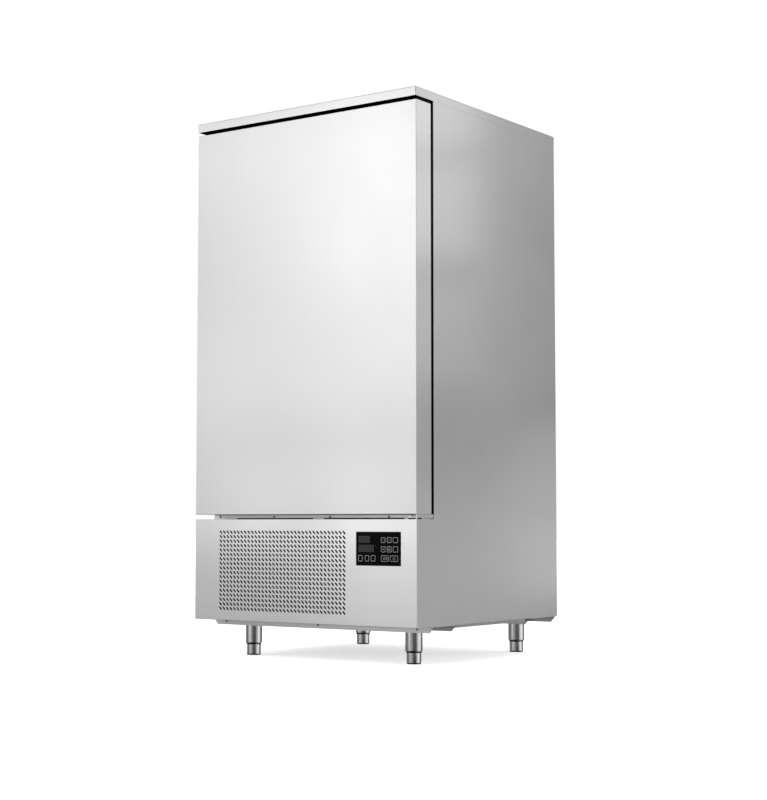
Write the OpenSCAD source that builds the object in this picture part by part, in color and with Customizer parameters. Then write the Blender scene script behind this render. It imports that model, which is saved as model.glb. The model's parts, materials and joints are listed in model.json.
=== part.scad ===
// Upright blast chiller: insulated chamber with a full-width door above a
// machine compartment, on four adjustable feet. Millimetres, +Z up, the front
// faces -Y, and the origin lies on the floor under the middle of the cabinet.

/* [Cabinet] */
// Overall width
cab_w = 830; // [820:1:840]
// Overall depth, from the lid's front edge to the rear panel
cab_d = 798; // [790:1:806]
// Floor to the bottom edge of the lower front panel
leg_h = 114; // [110:1:118]
// Height of the lower front panel
panel_h = 306.5; // [304:0.5:312]
// Thickness of the folded lid
lid_t = 26.5; // [24:0.5:30]
// Distance that the lid stands in front of the door
lid_over = 2.5; // [1.5:0.5:4]
// Thickness of the outer sheet
s = 1.2; // [1:0.1:1.5]

/* [Door] */
// Height of the door
door_h = 1191; // [1180:1:1200]
// Thickness of the door without its seal
door_t = 75; // [72:1:78]
// Width that the door is narrower than the cabinet
door_less = 0.6; // [0:0.2:3]
// Gap behind the door, filled by the seal and its carrier
seal_gap = 13; // [12.5:0.5:16]
// Gap under the door
gap_low = 14.5; // [14:0.5:18]
// Gap over the door
gap_top = 10.5; // [10:0.5:14]
// Hinge axis, in from the door's right edge
pivot_in = 20; // [18:1:24]
// Radius of the hinge pins
pin_r = 5; // [4:0.5:6]

/* [Chamber] */
// Clear width of the chamber
ch_w = 670; // [660:2:680]
// Clear height of the chamber
ch_h = 1100; // [1090:2:1106]
// Thickness of the insulation behind the chamber
back_t = 70; // [64:1:76]
// Number of tray levels
levels = 13; // [10:1:13]
// Distance between tray levels
level_pitch = 78; // [70:1:80]

/* [Grille] */
// Columns of slots
cols = 35; // [30:1:35]
// Rows of slots
rows = 18; // [14:1:18]
// Distance between columns
col_pitch = 13.85; // [13.6:0.05:14]
// Distance between rows
row_pitch = 13.65; // [13.4:0.05:14]
// Length of a slot
slot_l = 12.4; // [10:0.1:13]
// Width of a slot
slot_w = 4.2; // [2.5:0.1:4.4]

/* [Feet] */
// Radius of the fixed leg tube
leg_r = 25.4; // [24:0.1:27]
// Radius of the adjustable foot
foot_r = 21.5; // [20:0.5:22]
// Bare height of the adjustable foot at rest
foot_h = 34; // [30:1:38]
// Sideways distance of the feet from the middle
foot_x = 302.5; // [290:0.5:310]

/* [Hidden] */
$fn = 64;

hw = cab_w / 2;                        // half width
yF = -cab_d / 2 + lid_over;            // plane of the door's and lower panel's front
yR = cab_d / 2;                        // rear face
yB = yF + door_t + seal_gap;           // front face of the insulated body
yK = yF + door_t;                      // rear of the door's sheet
zP = leg_h;                            // bottom edge of the panels
zT = zP + panel_h;                     // top edge of the lower panel
zD = zT + gap_low;                     // bottom of the door
zE = zD + door_h;                      // top of the door
zL = zE + gap_top;                     // bottom of the lid
zM = zL + lid_t;                       // top of the lid
dw = (cab_w - door_less) / 2;          // half width of the door
px = dw - pivot_in;                    // hinge axis
py = yF + door_t / 2;
cw = ch_w / 2;                         // half width of the chamber
zc = zT + 69.5;                        // chamber floor
zh = zc + ch_h;                        // chamber ceiling
yc = yR - back_t;                      // chamber back
ySh = 130;                             // fan shroud
fan_z = [zc + 370, zc + 800];          // evaporator fan heights
cfx = -75;                             // condenser fan
cfz = zP + 151;
fy = [-247, 331.5];                    // feet, front and rear
cy = [[yB, yB + 117], [225.5, 388.5]]; // crossmembers, front and rear
hang = 19.5;                           // flanges of the crossmembers
// control unit: front face 157 x 97.5, measured from its upper left corner
cu = hw - 211.7;
cz = zT - 35.9;
cu_w = 157;
cu_h = 97.5;
keys = [[88, 105.4, 14.2, 32.2], [109.4, 126.8, 14.2, 32.2], [130.2, 149.4, 14.2, 32.2],
    [88, 105.4, 40.6, 58.8], [109.4, 126.8, 40.6, 58.8], [130.2, 149.4, 40.6, 58.8],
    [88, 116.4, 66.8, 86], [120, 149.6, 66.8, 86],
    [6.4, 24.6, 66.6, 86], [29.8, 47.2, 66.6, 86], [51.9, 69.6, 66.6, 86]];
shows = [[8.8, 49.6, 12, 32.2], [8.8, 63.8, 37.4, 58.6]];
// drain, pipe and lead positions
dr = [-20, 180];
liq = [230, 250];
suc = [275, 290];
gl = [-300, 150];
sill_screws = [-390, -174, 42, 257];
flange_screws = [-362, -3.5, 355];
// seal strips along the foot of the sill: start and end of each
seal_runs = [[-318.5, -23], [19, 311], [327, 351], [360, 372]];

steel = "lightgray";
dark = "#202224";

// box between two corners
module bx(a, b) translate(a) cube(b - a);
// cylinder along +Y
module cyl_y(p, r, l) translate(p) rotate([-90, 0, 0]) cylinder(r = r, h = l);
// cylinder along +Z
module cyl_z(p, r, l) translate(p) cylinder(r = r, h = l);
// straight pipe from a to b along one axis
module run(a, b, r) {
    d = b - a;
    l = norm(d);
    translate(a)
        if (d[0] != 0) rotate([0, d[0] > 0 ? 90 : -90, 0]) cylinder(r = r, h = l);
        else if (d[1] != 0) rotate([d[1] > 0 ? -90 : 90, 0, 0]) cylinder(r = r, h = l);
        else rotate([d[2] > 0 ? 0 : 180, 0, 0]) cylinder(r = r, h = l);
}
// pipe through a list of points, with a brazed elbow at each corner
module pipe(p, r) {
    for (i = [0 : len(p) - 2]) run(p[i], p[i + 1], r);
    for (i = [1 : len(p) - 2]) translate(p[i]) sphere(r = r * 1.2);
}
// mirror copy to the left side
module both() {
    children();
    mirror([1, 0, 0]) children();
}

// ---------------------------------------------------------------- outer shell

module top_panel() color(steel)
    difference() {
        bx([-hw, -yR, zL], [hw, yR, zM]);
        bx([-hw + s, -yR + s, zL - 1], [hw - s, yR - s, zM - s]);
    }

// black trim: the cover under the lid's front overhang, the ring round the face
// of the body that closes the view into the gap behind the door, and the seal
// strips along the foot of the sill
module front_trim() color(dark) {
    bx([-hw + s, -yR + s, zL + 1], [hw - s, yB, zL + 4]);
    bx([-hw + s, -yR + s, zL + 4], [hw - s, -yR + s + 3, zM - s]);
    difference() {
        bx([-hw + 1.5, yB - 1.5, zD - 1.7], [hw - 1.5, yB, zL + 1.1]);
        bx([-hw + 31.5, yB - 2, zc - 43], [hw - 31.5, yB + 1, zh + 30.5]);
        bx([px - 60.5, yB - 2, zE + 0.6], [px + 15, yB + 1, zL + 2]);
    }
    for (r = seal_runs) bx([r[0], yB - 1.5, zT + 0.2], [r[1], yB, zT + 3.8]);
}

module side_sheet() {
    bx([hw - s, yB, zT - 0.5], [hw, yR - s, zL]);
    bx([hw - s, yF + s, zP], [hw, yR - s, zT]);
    bx([hw - 14, yB, zT], [hw - s + 0.1, yB + s, zL]);
}
module side_panel_right() color(steel) side_sheet();
module side_panel_left() color(steel) mirror([1, 0, 0]) side_sheet();

module rear_panel() color(steel)
    difference() {
        bx([-hw + s, yR - s, zP], [hw - s, yR, zL]);
        for (x = [-290 : 72.5 : 290], z = [zP + 50 : 20 : zP + 250])
            bx([x - 28, yR - 5, z], [x + 28, yR + 5, z + 6]);
    }

// face of the body round the opening, with the sill and the shelf under the door
module front_frame() color(steel)
    difference() {
        union() {
            bx([-hw + 14, yB, zT - 2.4], [hw - 14, yB + s, zM - s]);
            bx([-hw + s, yF + 11.5, zT - 2.4], [hw - s, yB + s, zT - s]);
        }
        bx([-cw - 15, yB - 1, zc - 15], [cw + 15, yB + 5, zh + 15]);
        for (x = sill_screws) cyl_y([x, yB - 1, zT + 7.5], 2.5, 5);
    }

// thermal break round the mouth of the chamber
module breaker_strip() color(dark)
    difference() {
        bx([-cw - 15, yB, zc - 15], [cw + 15, yB + 8.5, zh + 15]);
        bx([-cw, yB - 1, zc], [cw, yB + 9, zh]);
    }

module chamber_liner() color("silver")
    difference() {
        bx([-cw - 1, yB + 8.5, zc - 1], [cw + 1, yc + 1, zh + 1]);
        bx([-cw, yB + 8, zc], [cw, yc, zh]);
        cyl_z([dr[0], dr[1], zc - 5], 16, 10);
        cyl_z([liq[0], liq[1], zc - 5], 6, 10);
        cyl_z([suc[0], suc[1], zc - 5], 10, 10);
    }

module insulation() color("khaki")
    difference() {
        bx([-hw + s, yB + s, zT + s], [hw - s, yR - s, zM - s]);
        bx([-cw - 15, yB, zc - 15], [cw + 15, yB + 8.5, zh + 15]);
        bx([-cw - 1, yB, zc - 1], [cw + 1, yc + 1, zh + 1]);
        cyl_z([dr[0], dr[1], zT], 16, 80);
        cyl_z([liq[0], liq[1], zT], 6, 80);
        cyl_z([suc[0], suc[1], zT], 10, 80);
    }

// deck over the machine compartment
module compartment_roof() color("gray")
    difference() {
        bx([-hw + s, yB + s, zT], [hw - s, yR - s, zT + s]);
        cyl_z([dr[0], dr[1], zT - 5], 16, 10);
        cyl_z([liq[0], liq[1], zT - 5], 6, 10);
        cyl_z([suc[0], suc[1], zT - 5], 10, 10);
    }

// ------------------------------------------------------- lower front and panel

grille_x = -hw + 98.2 + 5.25;
grille_z = zP + 30.6 + 4.9;

module lower_front_panel() color(steel) {
    translate([0, yF + s, 0]) rotate([90, 0, 0]) linear_extrude(s)
        difference() {
            translate([-hw, zP]) square([cab_w, panel_h]);
            for (i = [0 : cols - 1], k = [0 : rows - 1])
                translate([grille_x + i * col_pitch, grille_z + k * row_pitch])
                    rotate(-45) square([slot_l, slot_w], center = true);
            translate([cu + 3, cz - cu_h + 3]) square([cu_w - 6, cu_h - 6]);
        }
    bx([-hw + s, yF + s - 0.1, zT - s], [hw - s, yF + 21.5, zT]);
    bx([-hw + s, yF + s - 0.1, zP], [hw - s, yF + 21.5, zP + s]);
}

// dust filter behind the grille
module condenser_filter() color("#101010")
    bx([-hw + 90, yF + s, zP + 8], [-hw + 590, yF + 9, zP + 292]);

module unit_hole(k, grow, y0, y1)
    bx([cu + k[0] - grow, y0, cz - k[3] - grow], [cu + k[1] + grow, y1, cz - k[2] + grow]);

module control_facia() color(dark)
    difference() {
        union() {
            bx([cu, yF - 1.5, cz - cu_h], [cu + cu_w, yF, cz]);
            bx([cu + 3, yF - 0.1, cz - cu_h + 3], [cu + cu_w - 3, yF + 34.5, cz - 3]);
        }
        bx([cu + 5, yF + 6.5, cz - cu_h + 5], [cu + cu_w - 5, yF + 40, cz - 5]);
        for (k = keys) unit_hole(k, 0.3, yF - 5, yF + 10);
        for (k = shows) unit_hole(k, 0, yF - 5, yF + 10);
    }

module display_windows() color("#303438")
    for (k = shows) unit_hole(k, 0, yF - 1.5, yF + 0.5);

// key cap in its pocket, flush with the facia
module key_cap(n) color(dark) unit_hole(keys[n], 0, yF - 1.3, yF + 7);
module key_1() key_cap(0);
module key_2() key_cap(1);
module key_3() key_cap(2);
module key_4() key_cap(3);
module key_5() key_cap(4);
module key_6() key_cap(5);
module key_7() key_cap(6);
module key_8() key_cap(7);
module key_9() key_cap(8);
module key_10() key_cap(9);
module key_11() key_cap(10);

// control board behind the keys, and the power board in the electrical box
module circuit_boards() color("seagreen") {
    union() {
        bx([cu + 5, yF + 11, cz - cu_h + 5], [cu + cu_w - 5, yF + 12.6, cz - 5]);
        for (k = shows) unit_hole(k, -1.5, yF + 1.5, yF + 11.1);
        for (k = keys)
            cyl_y([cu + (k[0] + k[1]) / 2, yF + 8, cz - (k[2] + k[3]) / 2], 3, 3.1);
        bx([cu + 20, yF + 12.5, cz - 80], [cu + 60, yF + 28, cz - 20]);
        bx([cu + 80, yF + 12.5, cz - 84], [cu + 140, yF + 24, cz - 60]);
    }
    union() {
        bx([220, -240, zP + 40], [385, -238, zP + 250]);
        bx([235, -275, zP + 60], [285, -239.9, zP + 120]);
        bx([300, -285, zP + 60], [365, -239.9, zP + 130]);
        bx([235, -265, zP + 150], [365, -239.9, zP + 175]);
        for (x = [240 : 30 : 360]) cyl_y([x, -262, zP + 215], 9, 22.1);
    }
}

// -------------------------------------------------------------- base and feet

module base_pan() color("gray")
    difference() {
        bx([-hw + s, yF + 21.5, zP], [hw - s, yR - s, zP + s]);
        cyl_z([dr[0], dr[1], zP - 5], 16, 10);
        cyl_z([gl[0], gl[1], zP - 5], 10, 10);
    }

// channel under the base: two flanges with bevelled ends, and a web
module channel(y) difference() {
    union() {
        for (y0 = [y[0], y[1] - 2])
            translate([0, y0 + 2, 0]) rotate([90, 0, 0]) linear_extrude(2)
                polygon([[-hw, zP], [hw, zP], [hw - 17, zP - hang], [-hw + 17, zP - hang]]);
        bx([-hw + 3, y[0] + 1, zP - 2], [hw - 3, y[1] - 1, zP]);
    }
}
module crossmembers() color(steel)
    difference() {
        union() {
            channel(cy[0]);
            channel(cy[1]);
        }
        for (x = flange_screws) cyl_y([x, yB - 1, zP - 9], 2, 5);
    }

module base_runners() color("gray")
    both() bx([hw - 32, cy[0][1], zP - 10], [hw - 12, cy[1][0], zP]);

// leg: plate, tube, threaded insert and rolled lip
module leg_tubes() color("silver")
    for (x = [-foot_x, foot_x], y = fy)
        translate([x, y, 0]) difference() {
            union() {
                bx([-35, -35, zP - 5], [35, 35, zP - 2]);
                translate([0, 0, foot_h + 1]) cylinder(r = leg_r, h = zP - foot_h - 4);
                translate([0, 0, foot_h]) cylinder(r = leg_r - 1, h = 2);
            }
            translate([0, 0, foot_h + 4]) cylinder(r = leg_r - 1.6, h = 22);
            translate([0, 0, foot_h + 36]) cylinder(r = leg_r - 1.6, h = zP - 41 - foot_h);
            translate([0, 0, foot_h - 1]) cylinder(r = foot_r + 0.5, h = 6);
            translate([0, 0, foot_h]) cylinder(r = 8.05, h = 60);
            translate([0, 0, zP - 6]) cylinder(r = 9, h = 6);
        }

// adjustable foot with its threaded stem
module foot(x, y) color("silver")
    translate([x, y, 0]) {
        cylinder(r1 = foot_r - 1.5, r2 = foot_r, h = 1.5);
        translate([0, 0, 1.5]) cylinder(r = foot_r, h = foot_h + 9);
        translate([0, 0, foot_h + 10]) cylinder(r = 8, h = 51);
    }
module foot_front_left() foot(-foot_x, fy[0]);
module foot_front_right() foot(foot_x, fy[0]);
module foot_rear_left() foot(-foot_x, fy[1]);
module foot_rear_right() foot(foot_x, fy[1]);

// ----------------------------------------------------------------- door, hinge

// bracket at height z0, its pin pointing up (d = 1) or down (d = -1)
module bracket(z0, d, zb) {
    xr = d > 0 ? px + 18.5 : px + 14.5;
    bx([px - 22, py - 20, z0], [xr, yB, z0 + 3]);
    bx([px - 60, yB - 3, d > 0 ? zT + 4 : zE + 1], [xr, yB, d > 0 ? zD - 1.9 : zL - 0.5]);
    if (d > 0) {
        // upright flange, which closes the gap under the door at the side
        bx([xr - 3, yF + 3, z0], [xr, yB, zb - 0.6]);
        cyl_z([px, py, z0 + 2.9], 9, zb - z0 - 3.2);
        cyl_z([px, py, z0 + 1], pin_r, zb - z0 + 19);
    } else {
        cyl_z([px, py, zb + 0.3], 9, z0 - zb);
        cyl_z([px, py, zb - 20], pin_r, z0 - zb + 21);
    }
}
module hinge_brackets() color("silver")
    difference() {
        union() {
            bracket(zT + 4, 1, zD);
            bracket(zE + 4.5, -1, zE);
        }
        for (x = [px - 52, px - 36], z = [zT + 7.5, zE + 5.5]) cyl_y([x, yB - 5, z], 2.5, 10);
    }

module hinge_bushes() color("white")
    for (z = [zD, zE - 23])
        difference() {
            cyl_z([px, py, z], 9, 23);
            cyl_z([px, py, z - 1], pin_r + 0.05, 25);
        }

grip = [-dw, yF + 16, zD + 520, 30, 42, 300]; // x, y, z, depth, width, height

module door_skin() color(steel)
    difference() {
        bx([-dw, yF, zD], [dw, yK, zE]);
        bx([-dw + s, yF + s, zD + s], [dw - s, yK + 1, zE - s]);
        cyl_z([px, py, zD - 1], 9, 5);
        cyl_z([px, py, zE - 4], 9, 5);
        bx([grip[0] - 1, grip[1], grip[2]], [grip[0] + 5, grip[1] + grip[4], grip[2] + grip[5]]);
    }

module door_liner() color("silver")
    bx([-dw + s, yK - 1, zD + s], [dw - s, yK, zE - s]);

module door_foam() color("khaki")
    difference() {
        bx([-dw + s, yF + s, zD + s], [dw - s, yK - 1, zE - s]);
        cyl_z([px, py, zD], 9, 23);
        cyl_z([px, py, zE - 23], 9, 24);
        bx([grip[0], grip[1], grip[2]],
            [grip[0] + grip[3], grip[1] + grip[4], grip[2] + grip[5]]);
    }

// black plastic profile round the back of the door, which carries the seal
module door_frame() color(dark)
    difference() {
        bx([-dw + 1.5, yK, zD + 1.5], [dw - 1.5, yK + seal_gap - 6, zE - 1.5]);
        bx([-cw - 10, yK - 1, zc - 10], [cw + 10, yK + 10, zh + 10]);
    }

module door_gasket() color("black")
    difference() {
        bx([-cw - 45, yB - 6, zc - 40], [cw + 45, yB - 0.3, zh + 27]);
        bx([-cw - 20, yB - 7, zc - 15], [cw + 20, yB, zh + 15]);
    }

// recessed grip cup in the door's left edge
module door_grip() color(dark)
    difference() {
        bx([grip[0], grip[1], grip[2]],
            [grip[0] + grip[3], grip[1] + grip[4], grip[2] + grip[5]]);
        bx([grip[0] + 3, grip[1] + 2.5, grip[2] + 2.5],
            [grip[0] + grip[3] - 2.5, grip[1] + grip[4] - 2.5, grip[2] + grip[5] - 2.5]);
        bx([grip[0] - 1, grip[1] + 12, grip[2] + 2.5],
            [grip[0] + 5, grip[1] + grip[4] - 2.5, grip[2] + grip[5] - 2.5]);
    }

// ------------------------------------------------------------- chamber inside

module rack_posts() color("silver")
    both() for (y = [-250, 60]) bx([cw - 13, y, zc + 8], [cw, y + 20, zh - 10]);

module tray_runners() color("silver")
    for (k = [0 : levels - 1]) both() {
        bx([cw - 45, -285, zc + 50 + k * level_pitch], [cw - 13, 100, zc + 51.5 + k * level_pitch]);
        bx([cw - 14.5, -285, zc + 50 + k * level_pitch], [cw - 13, 100, zc + 66 + k * level_pitch]);
    }

// finned block with end plates and the ends of its tubes
module evaporator_coil() color("lightsteelblue") {
    bx([-285, 232, zc + 112], [285, 314, zc + 1068]);
    both() {
        bx([285, 226, zc + 105], [287.5, yc, zc + 1075]);
        for (z = [zc + 140 : 75 : zc + 1050], y = [256, 290])
            translate([287, y, z]) rotate([0, 90, 0]) cylinder(r = 5, h = 14);
    }
}

module fan_shroud() color("silver")
    difference() {
        union() {
            bx([-cw, ySh, zc + 70], [cw, ySh + s, zh]);
            bx([-cw, ySh, zc + 70], [cw, ySh + 20, zc + 70 + s]);
        }
        for (z = fan_z) cyl_y([0, ySh - 5, z], 134, 12);
    }

// flat guard of welded rings and cross bars, on four spacers
module guard(z)
    translate([0, ySh - 6, z]) rotate([-90, 0, 0]) {
        for (r = [28 : 28 : 140])
            difference() {
                cylinder(r = r + 1.5, h = 3);
                translate([0, 0, -1]) cylinder(r = r - 1.5, h = 5);
            }
        for (a = [0, 45, 90, 135]) rotate([0, 0, a]) translate([-140, -1.5, 0]) cube([280, 3, 3]);
        for (a = [45 : 90 : 315]) rotate([0, 0, a]) translate([140, 0, 1]) cylinder(r = 4, h = 5);
    }
module fan_guards() color("gainsboro") for (z = fan_z) guard(z);

// impeller of radius r about +Y, its front at p, with its shaft
module impeller(p, r, hub, deep, n, shaft)
    translate(p) rotate([-90, 0, 0]) {
        cylinder(r = hub, h = deep);
        intersection() {
            cylinder(r = r, h = deep);
            for (i = [0 : n - 1]) rotate([0, 0, i * 360 / n])
                translate([hub - 3, 0, deep / 2]) rotate([32, 0, 0])
                    translate([0, -r * 0.3, -1]) cube([r - hub + 10, r * 0.6, 2]);
        }
        translate([0, 0, deep - 1]) cylinder(r = 4, h = shaft + 1);
    }
module evaporator_fan_upper() color("dimgray") impeller([0, ySh + 7, fan_z[1]], 125, 32, 28, 5, 24);
module evaporator_fan_lower() color("dimgray") impeller([0, ySh + 7, fan_z[0]], 125, 32, 28, 5, 24);
module condenser_fan() color("dimgray") impeller([cfx, -266, cfz], 112, 30, 28, 5, 24);

// motor on its strap: m is the middle of its front face, b the plate behind it bolts to
module motor(m, r, l, reach, yb) difference() {
    union() {
        cyl_y(m, r, l);
        bx([m[0] - reach, m[1] + l - 0.1, m[2] - 14], [m[0] + reach, m[1] + l + 3, m[2] + 14]);
        for (d = [-1, 1]) {
            bx([m[0] + d * reach - 1.5, yb, m[2] - 14], [m[0] + d * reach + 1.5, m[1] + l + 3, m[2] + 14]);
            bx([m[0] + d * (reach + 8) - 9, yb, m[2] - 14], [m[0] + d * (reach + 8) + 9, yb + 2, m[2] + 14]);
        }
    }
    cyl_y([m[0], m[1] - 1, m[2]], 4.05, 24);
}
module fan_motors() color("darkslategray") {
    for (z = fan_z) motor([0, ySh + 42, z], 40, 48, 156, ySh + s);
    motor([cfx, -228, cfz], 40, 60, 140, -260);
}

// ---------------------------------------------------------- machine compartment

module compressor() color("#2a2c30")
    union() {
        translate([170, 80, zP + 18]) rotate_extrude()
            polygon([[0, 0], [78, 0], [88, 8], [92, 22], [92, 150], [86, 172], [68, 190], [40, 199], [0, 202]]);
        bx([40, -20, zP + 13], [300, 180, zP + 18.1]);
        bx([230, 55, zP + 60], [285, 105, zP + 130]);
    }
// rubber grommets under the compressor
module compressor_mounts() color("black")
    for (x = [58, 282], y = [-4, 164]) cyl_z([x, y, zP + s], 13, 13 - s);

module condenser_coil() color("lightsteelblue") {
    bx([-310, -378, zP + 20], [160, -322, zP + 285]);
    for (x = [-313, 160]) bx([x, -382, zP + 15], [x + 3, -320, zP + 290]);
}

module condenser_shroud() color("gray")
    difference() {
        union() {
            bx([-313, -320, zP + 15], [163, -260, zP + 290]);
            cyl_y([cfx, -262, cfz], 120, 24);
        }
        bx([-311.5, -321, zP + 16.5], [161.5, -261.5, zP + 288.5]);
        cyl_y([cfx, -270, cfz], 118, 40);
    }

module electrical_box() color("gray")
    difference() {
        bx([205, -345, zP + 12], [405, -190, zP + 290]);
        bx([206.5, -350, zP + 13.5], [403.5, -191.5, zP + 288.5]);
        for (z = [zP + 90, zP + 210]) cyl_y([230, -200, z], 8, 20);
    }

// refrigerant circuit: discharge, condensate, liquid and suction lines, with the receiver
module pipework() color("peru") {
    pipe([[78, 80, zP + 146], [20, 80, zP + 146], [20, 80, zP + 266], [-345, 80, zP + 266],
        [-345, -350, zP + 266], [-313, -350, zP + 266]], 6);
    pipe([[-313, -350, zP + 36], [-360, -350, zP + 36], [-360, 250, zP + 36],
        [-360, 250, zP + 66], [-329, 250, zP + 66]], 5);
    run([-330, 250, zP + 66], [-90, 250, zP + 66], 42);
    pipe([[-91, 250, zP + 66], [liq[0], liq[1], zP + 66], [liq[0], liq[1], zc + 112]], 5);
    pipe([[suc[0], suc[1], zc + 112], [suc[0], suc[1], zP + 126], [suc[0], 130, zP + 126],
        [suc[0] + 30, 130, zP + 126], [suc[0] + 30, 130, zP + 160]], 9);
}

module drain() color("gainsboro")
    difference() {
        union() {
            cyl_z([dr[0], dr[1], zc], 26, 1.5);
            cyl_z([dr[0], dr[1], zP], 16, zc - zP + 0.5);
            cyl_z([dr[0], dr[1], zP - 16], 12.5, 17);
        }
        cyl_z([dr[0], dr[1], zP - 20], 10.5, zc - zP + 30);
    }

// gland for the mains lead, in the base
module cable_gland() color("black")
    difference() {
        union() {
            cyl_z([gl[0], gl[1], zP - 16], 13, 16);
            cyl_z([gl[0], gl[1], zP - 1], 10, 14);
            cyl_z([gl[0], gl[1], zP + s], 15, 6);
        }
        cyl_z([gl[0], gl[1], zP - 20], 6, 40);
    }

// screws: sill, hinge brackets and base flange
module screw(p, l, r) {
    cyl_y(p, r, l + 0.1);
    cyl_y([p[0], p[1] - 2, p[2]], 3.5, 2);
}
module screws() color("dimgray") {
    for (x = sill_screws) screw([x, yB, zT + 7.5], s - 0.1, 2.5);
    for (x = [px - 52, px - 36], z = [zT + 7.5, zE + 5.5]) screw([x, yB - 3, z], 2.9, 2.5);
    for (x = flange_screws) screw([x, yB, zP - 9], 1.9, 2);
}

top_panel();
front_trim();
side_panel_left();
side_panel_right();
rear_panel();
front_frame();
breaker_strip();
chamber_liner();
insulation();
compartment_roof();
lower_front_panel();
condenser_filter();
control_facia();
display_windows();
circuit_boards();
key_1();
key_2();
key_3();
key_4();
key_5();
key_6();
key_7();
key_8();
key_9();
key_10();
key_11();
base_pan();
crossmembers();
base_runners();
leg_tubes();
foot_front_left();
foot_front_right();
foot_rear_left();
foot_rear_right();
hinge_brackets();
hinge_bushes();
door_skin();
door_liner();
door_foam();
door_frame();
door_gasket();
door_grip();
rack_posts();
tray_runners();
evaporator_coil();
fan_shroud();
fan_guards();
fan_motors();
evaporator_fan_upper();
evaporator_fan_lower();
compressor();
compressor_mounts();
condenser_coil();
condenser_shroud();
condenser_fan();
electrical_box();
pipework();
drain();
cable_gland();
screws();
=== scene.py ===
# Looks of an upright blast chiller, built around its packed construction model.
# Metres, +Z up, the front faces -Y. Lengths in the code below are in millimetres
# and become metres when a mesh is made.
import json
import math

import bmesh
import bpy
from mathutils import Euler, Matrix, Vector
from mathutils.geometry import tessellate_polygon


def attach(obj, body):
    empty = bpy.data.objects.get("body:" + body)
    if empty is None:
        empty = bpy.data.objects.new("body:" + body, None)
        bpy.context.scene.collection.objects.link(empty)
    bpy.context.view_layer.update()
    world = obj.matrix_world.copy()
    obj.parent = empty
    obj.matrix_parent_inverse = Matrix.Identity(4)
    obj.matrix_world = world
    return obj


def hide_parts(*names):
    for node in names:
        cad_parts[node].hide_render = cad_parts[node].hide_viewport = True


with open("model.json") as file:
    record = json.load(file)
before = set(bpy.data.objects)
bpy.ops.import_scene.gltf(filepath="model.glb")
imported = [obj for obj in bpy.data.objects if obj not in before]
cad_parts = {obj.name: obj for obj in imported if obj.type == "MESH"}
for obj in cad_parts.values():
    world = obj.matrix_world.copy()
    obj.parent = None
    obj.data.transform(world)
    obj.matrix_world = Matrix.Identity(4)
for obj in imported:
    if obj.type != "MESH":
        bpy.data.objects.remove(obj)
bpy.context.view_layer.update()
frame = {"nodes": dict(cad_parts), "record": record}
NODES = frame["nodes"]
BODY = {n: b for b, ns in frame["record"]["behaviour"]["bodies"].items() for n in ns}
MM = 0.001
PI = math.pi

# main dimensions, as in the construction
hw, yF, yR = 415.0, -396.5, 399.0
yB, yK = -308.5, -321.5
zP, zT, zD, zE, zL, zM = 114.0, 420.5, 435.0, 1626.0, 1636.5, 1663.0
dw, px, py = 414.7, 394.7, -359.0
cw, zc, zh, yc, ySh = 335.0, 490.0, 1590.0, 329.0, 130.0
fan_z = (860.0, 1290.0)
cfx, cfz = -75.0, 265.0
foot_x, foot_y = 302.5, (-247.0, 331.5)
cu, cz, cu_w, cu_h = 203.3, 384.6, 157.0, 97.5


# ------------------------------------------------------------------- materials


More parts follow.
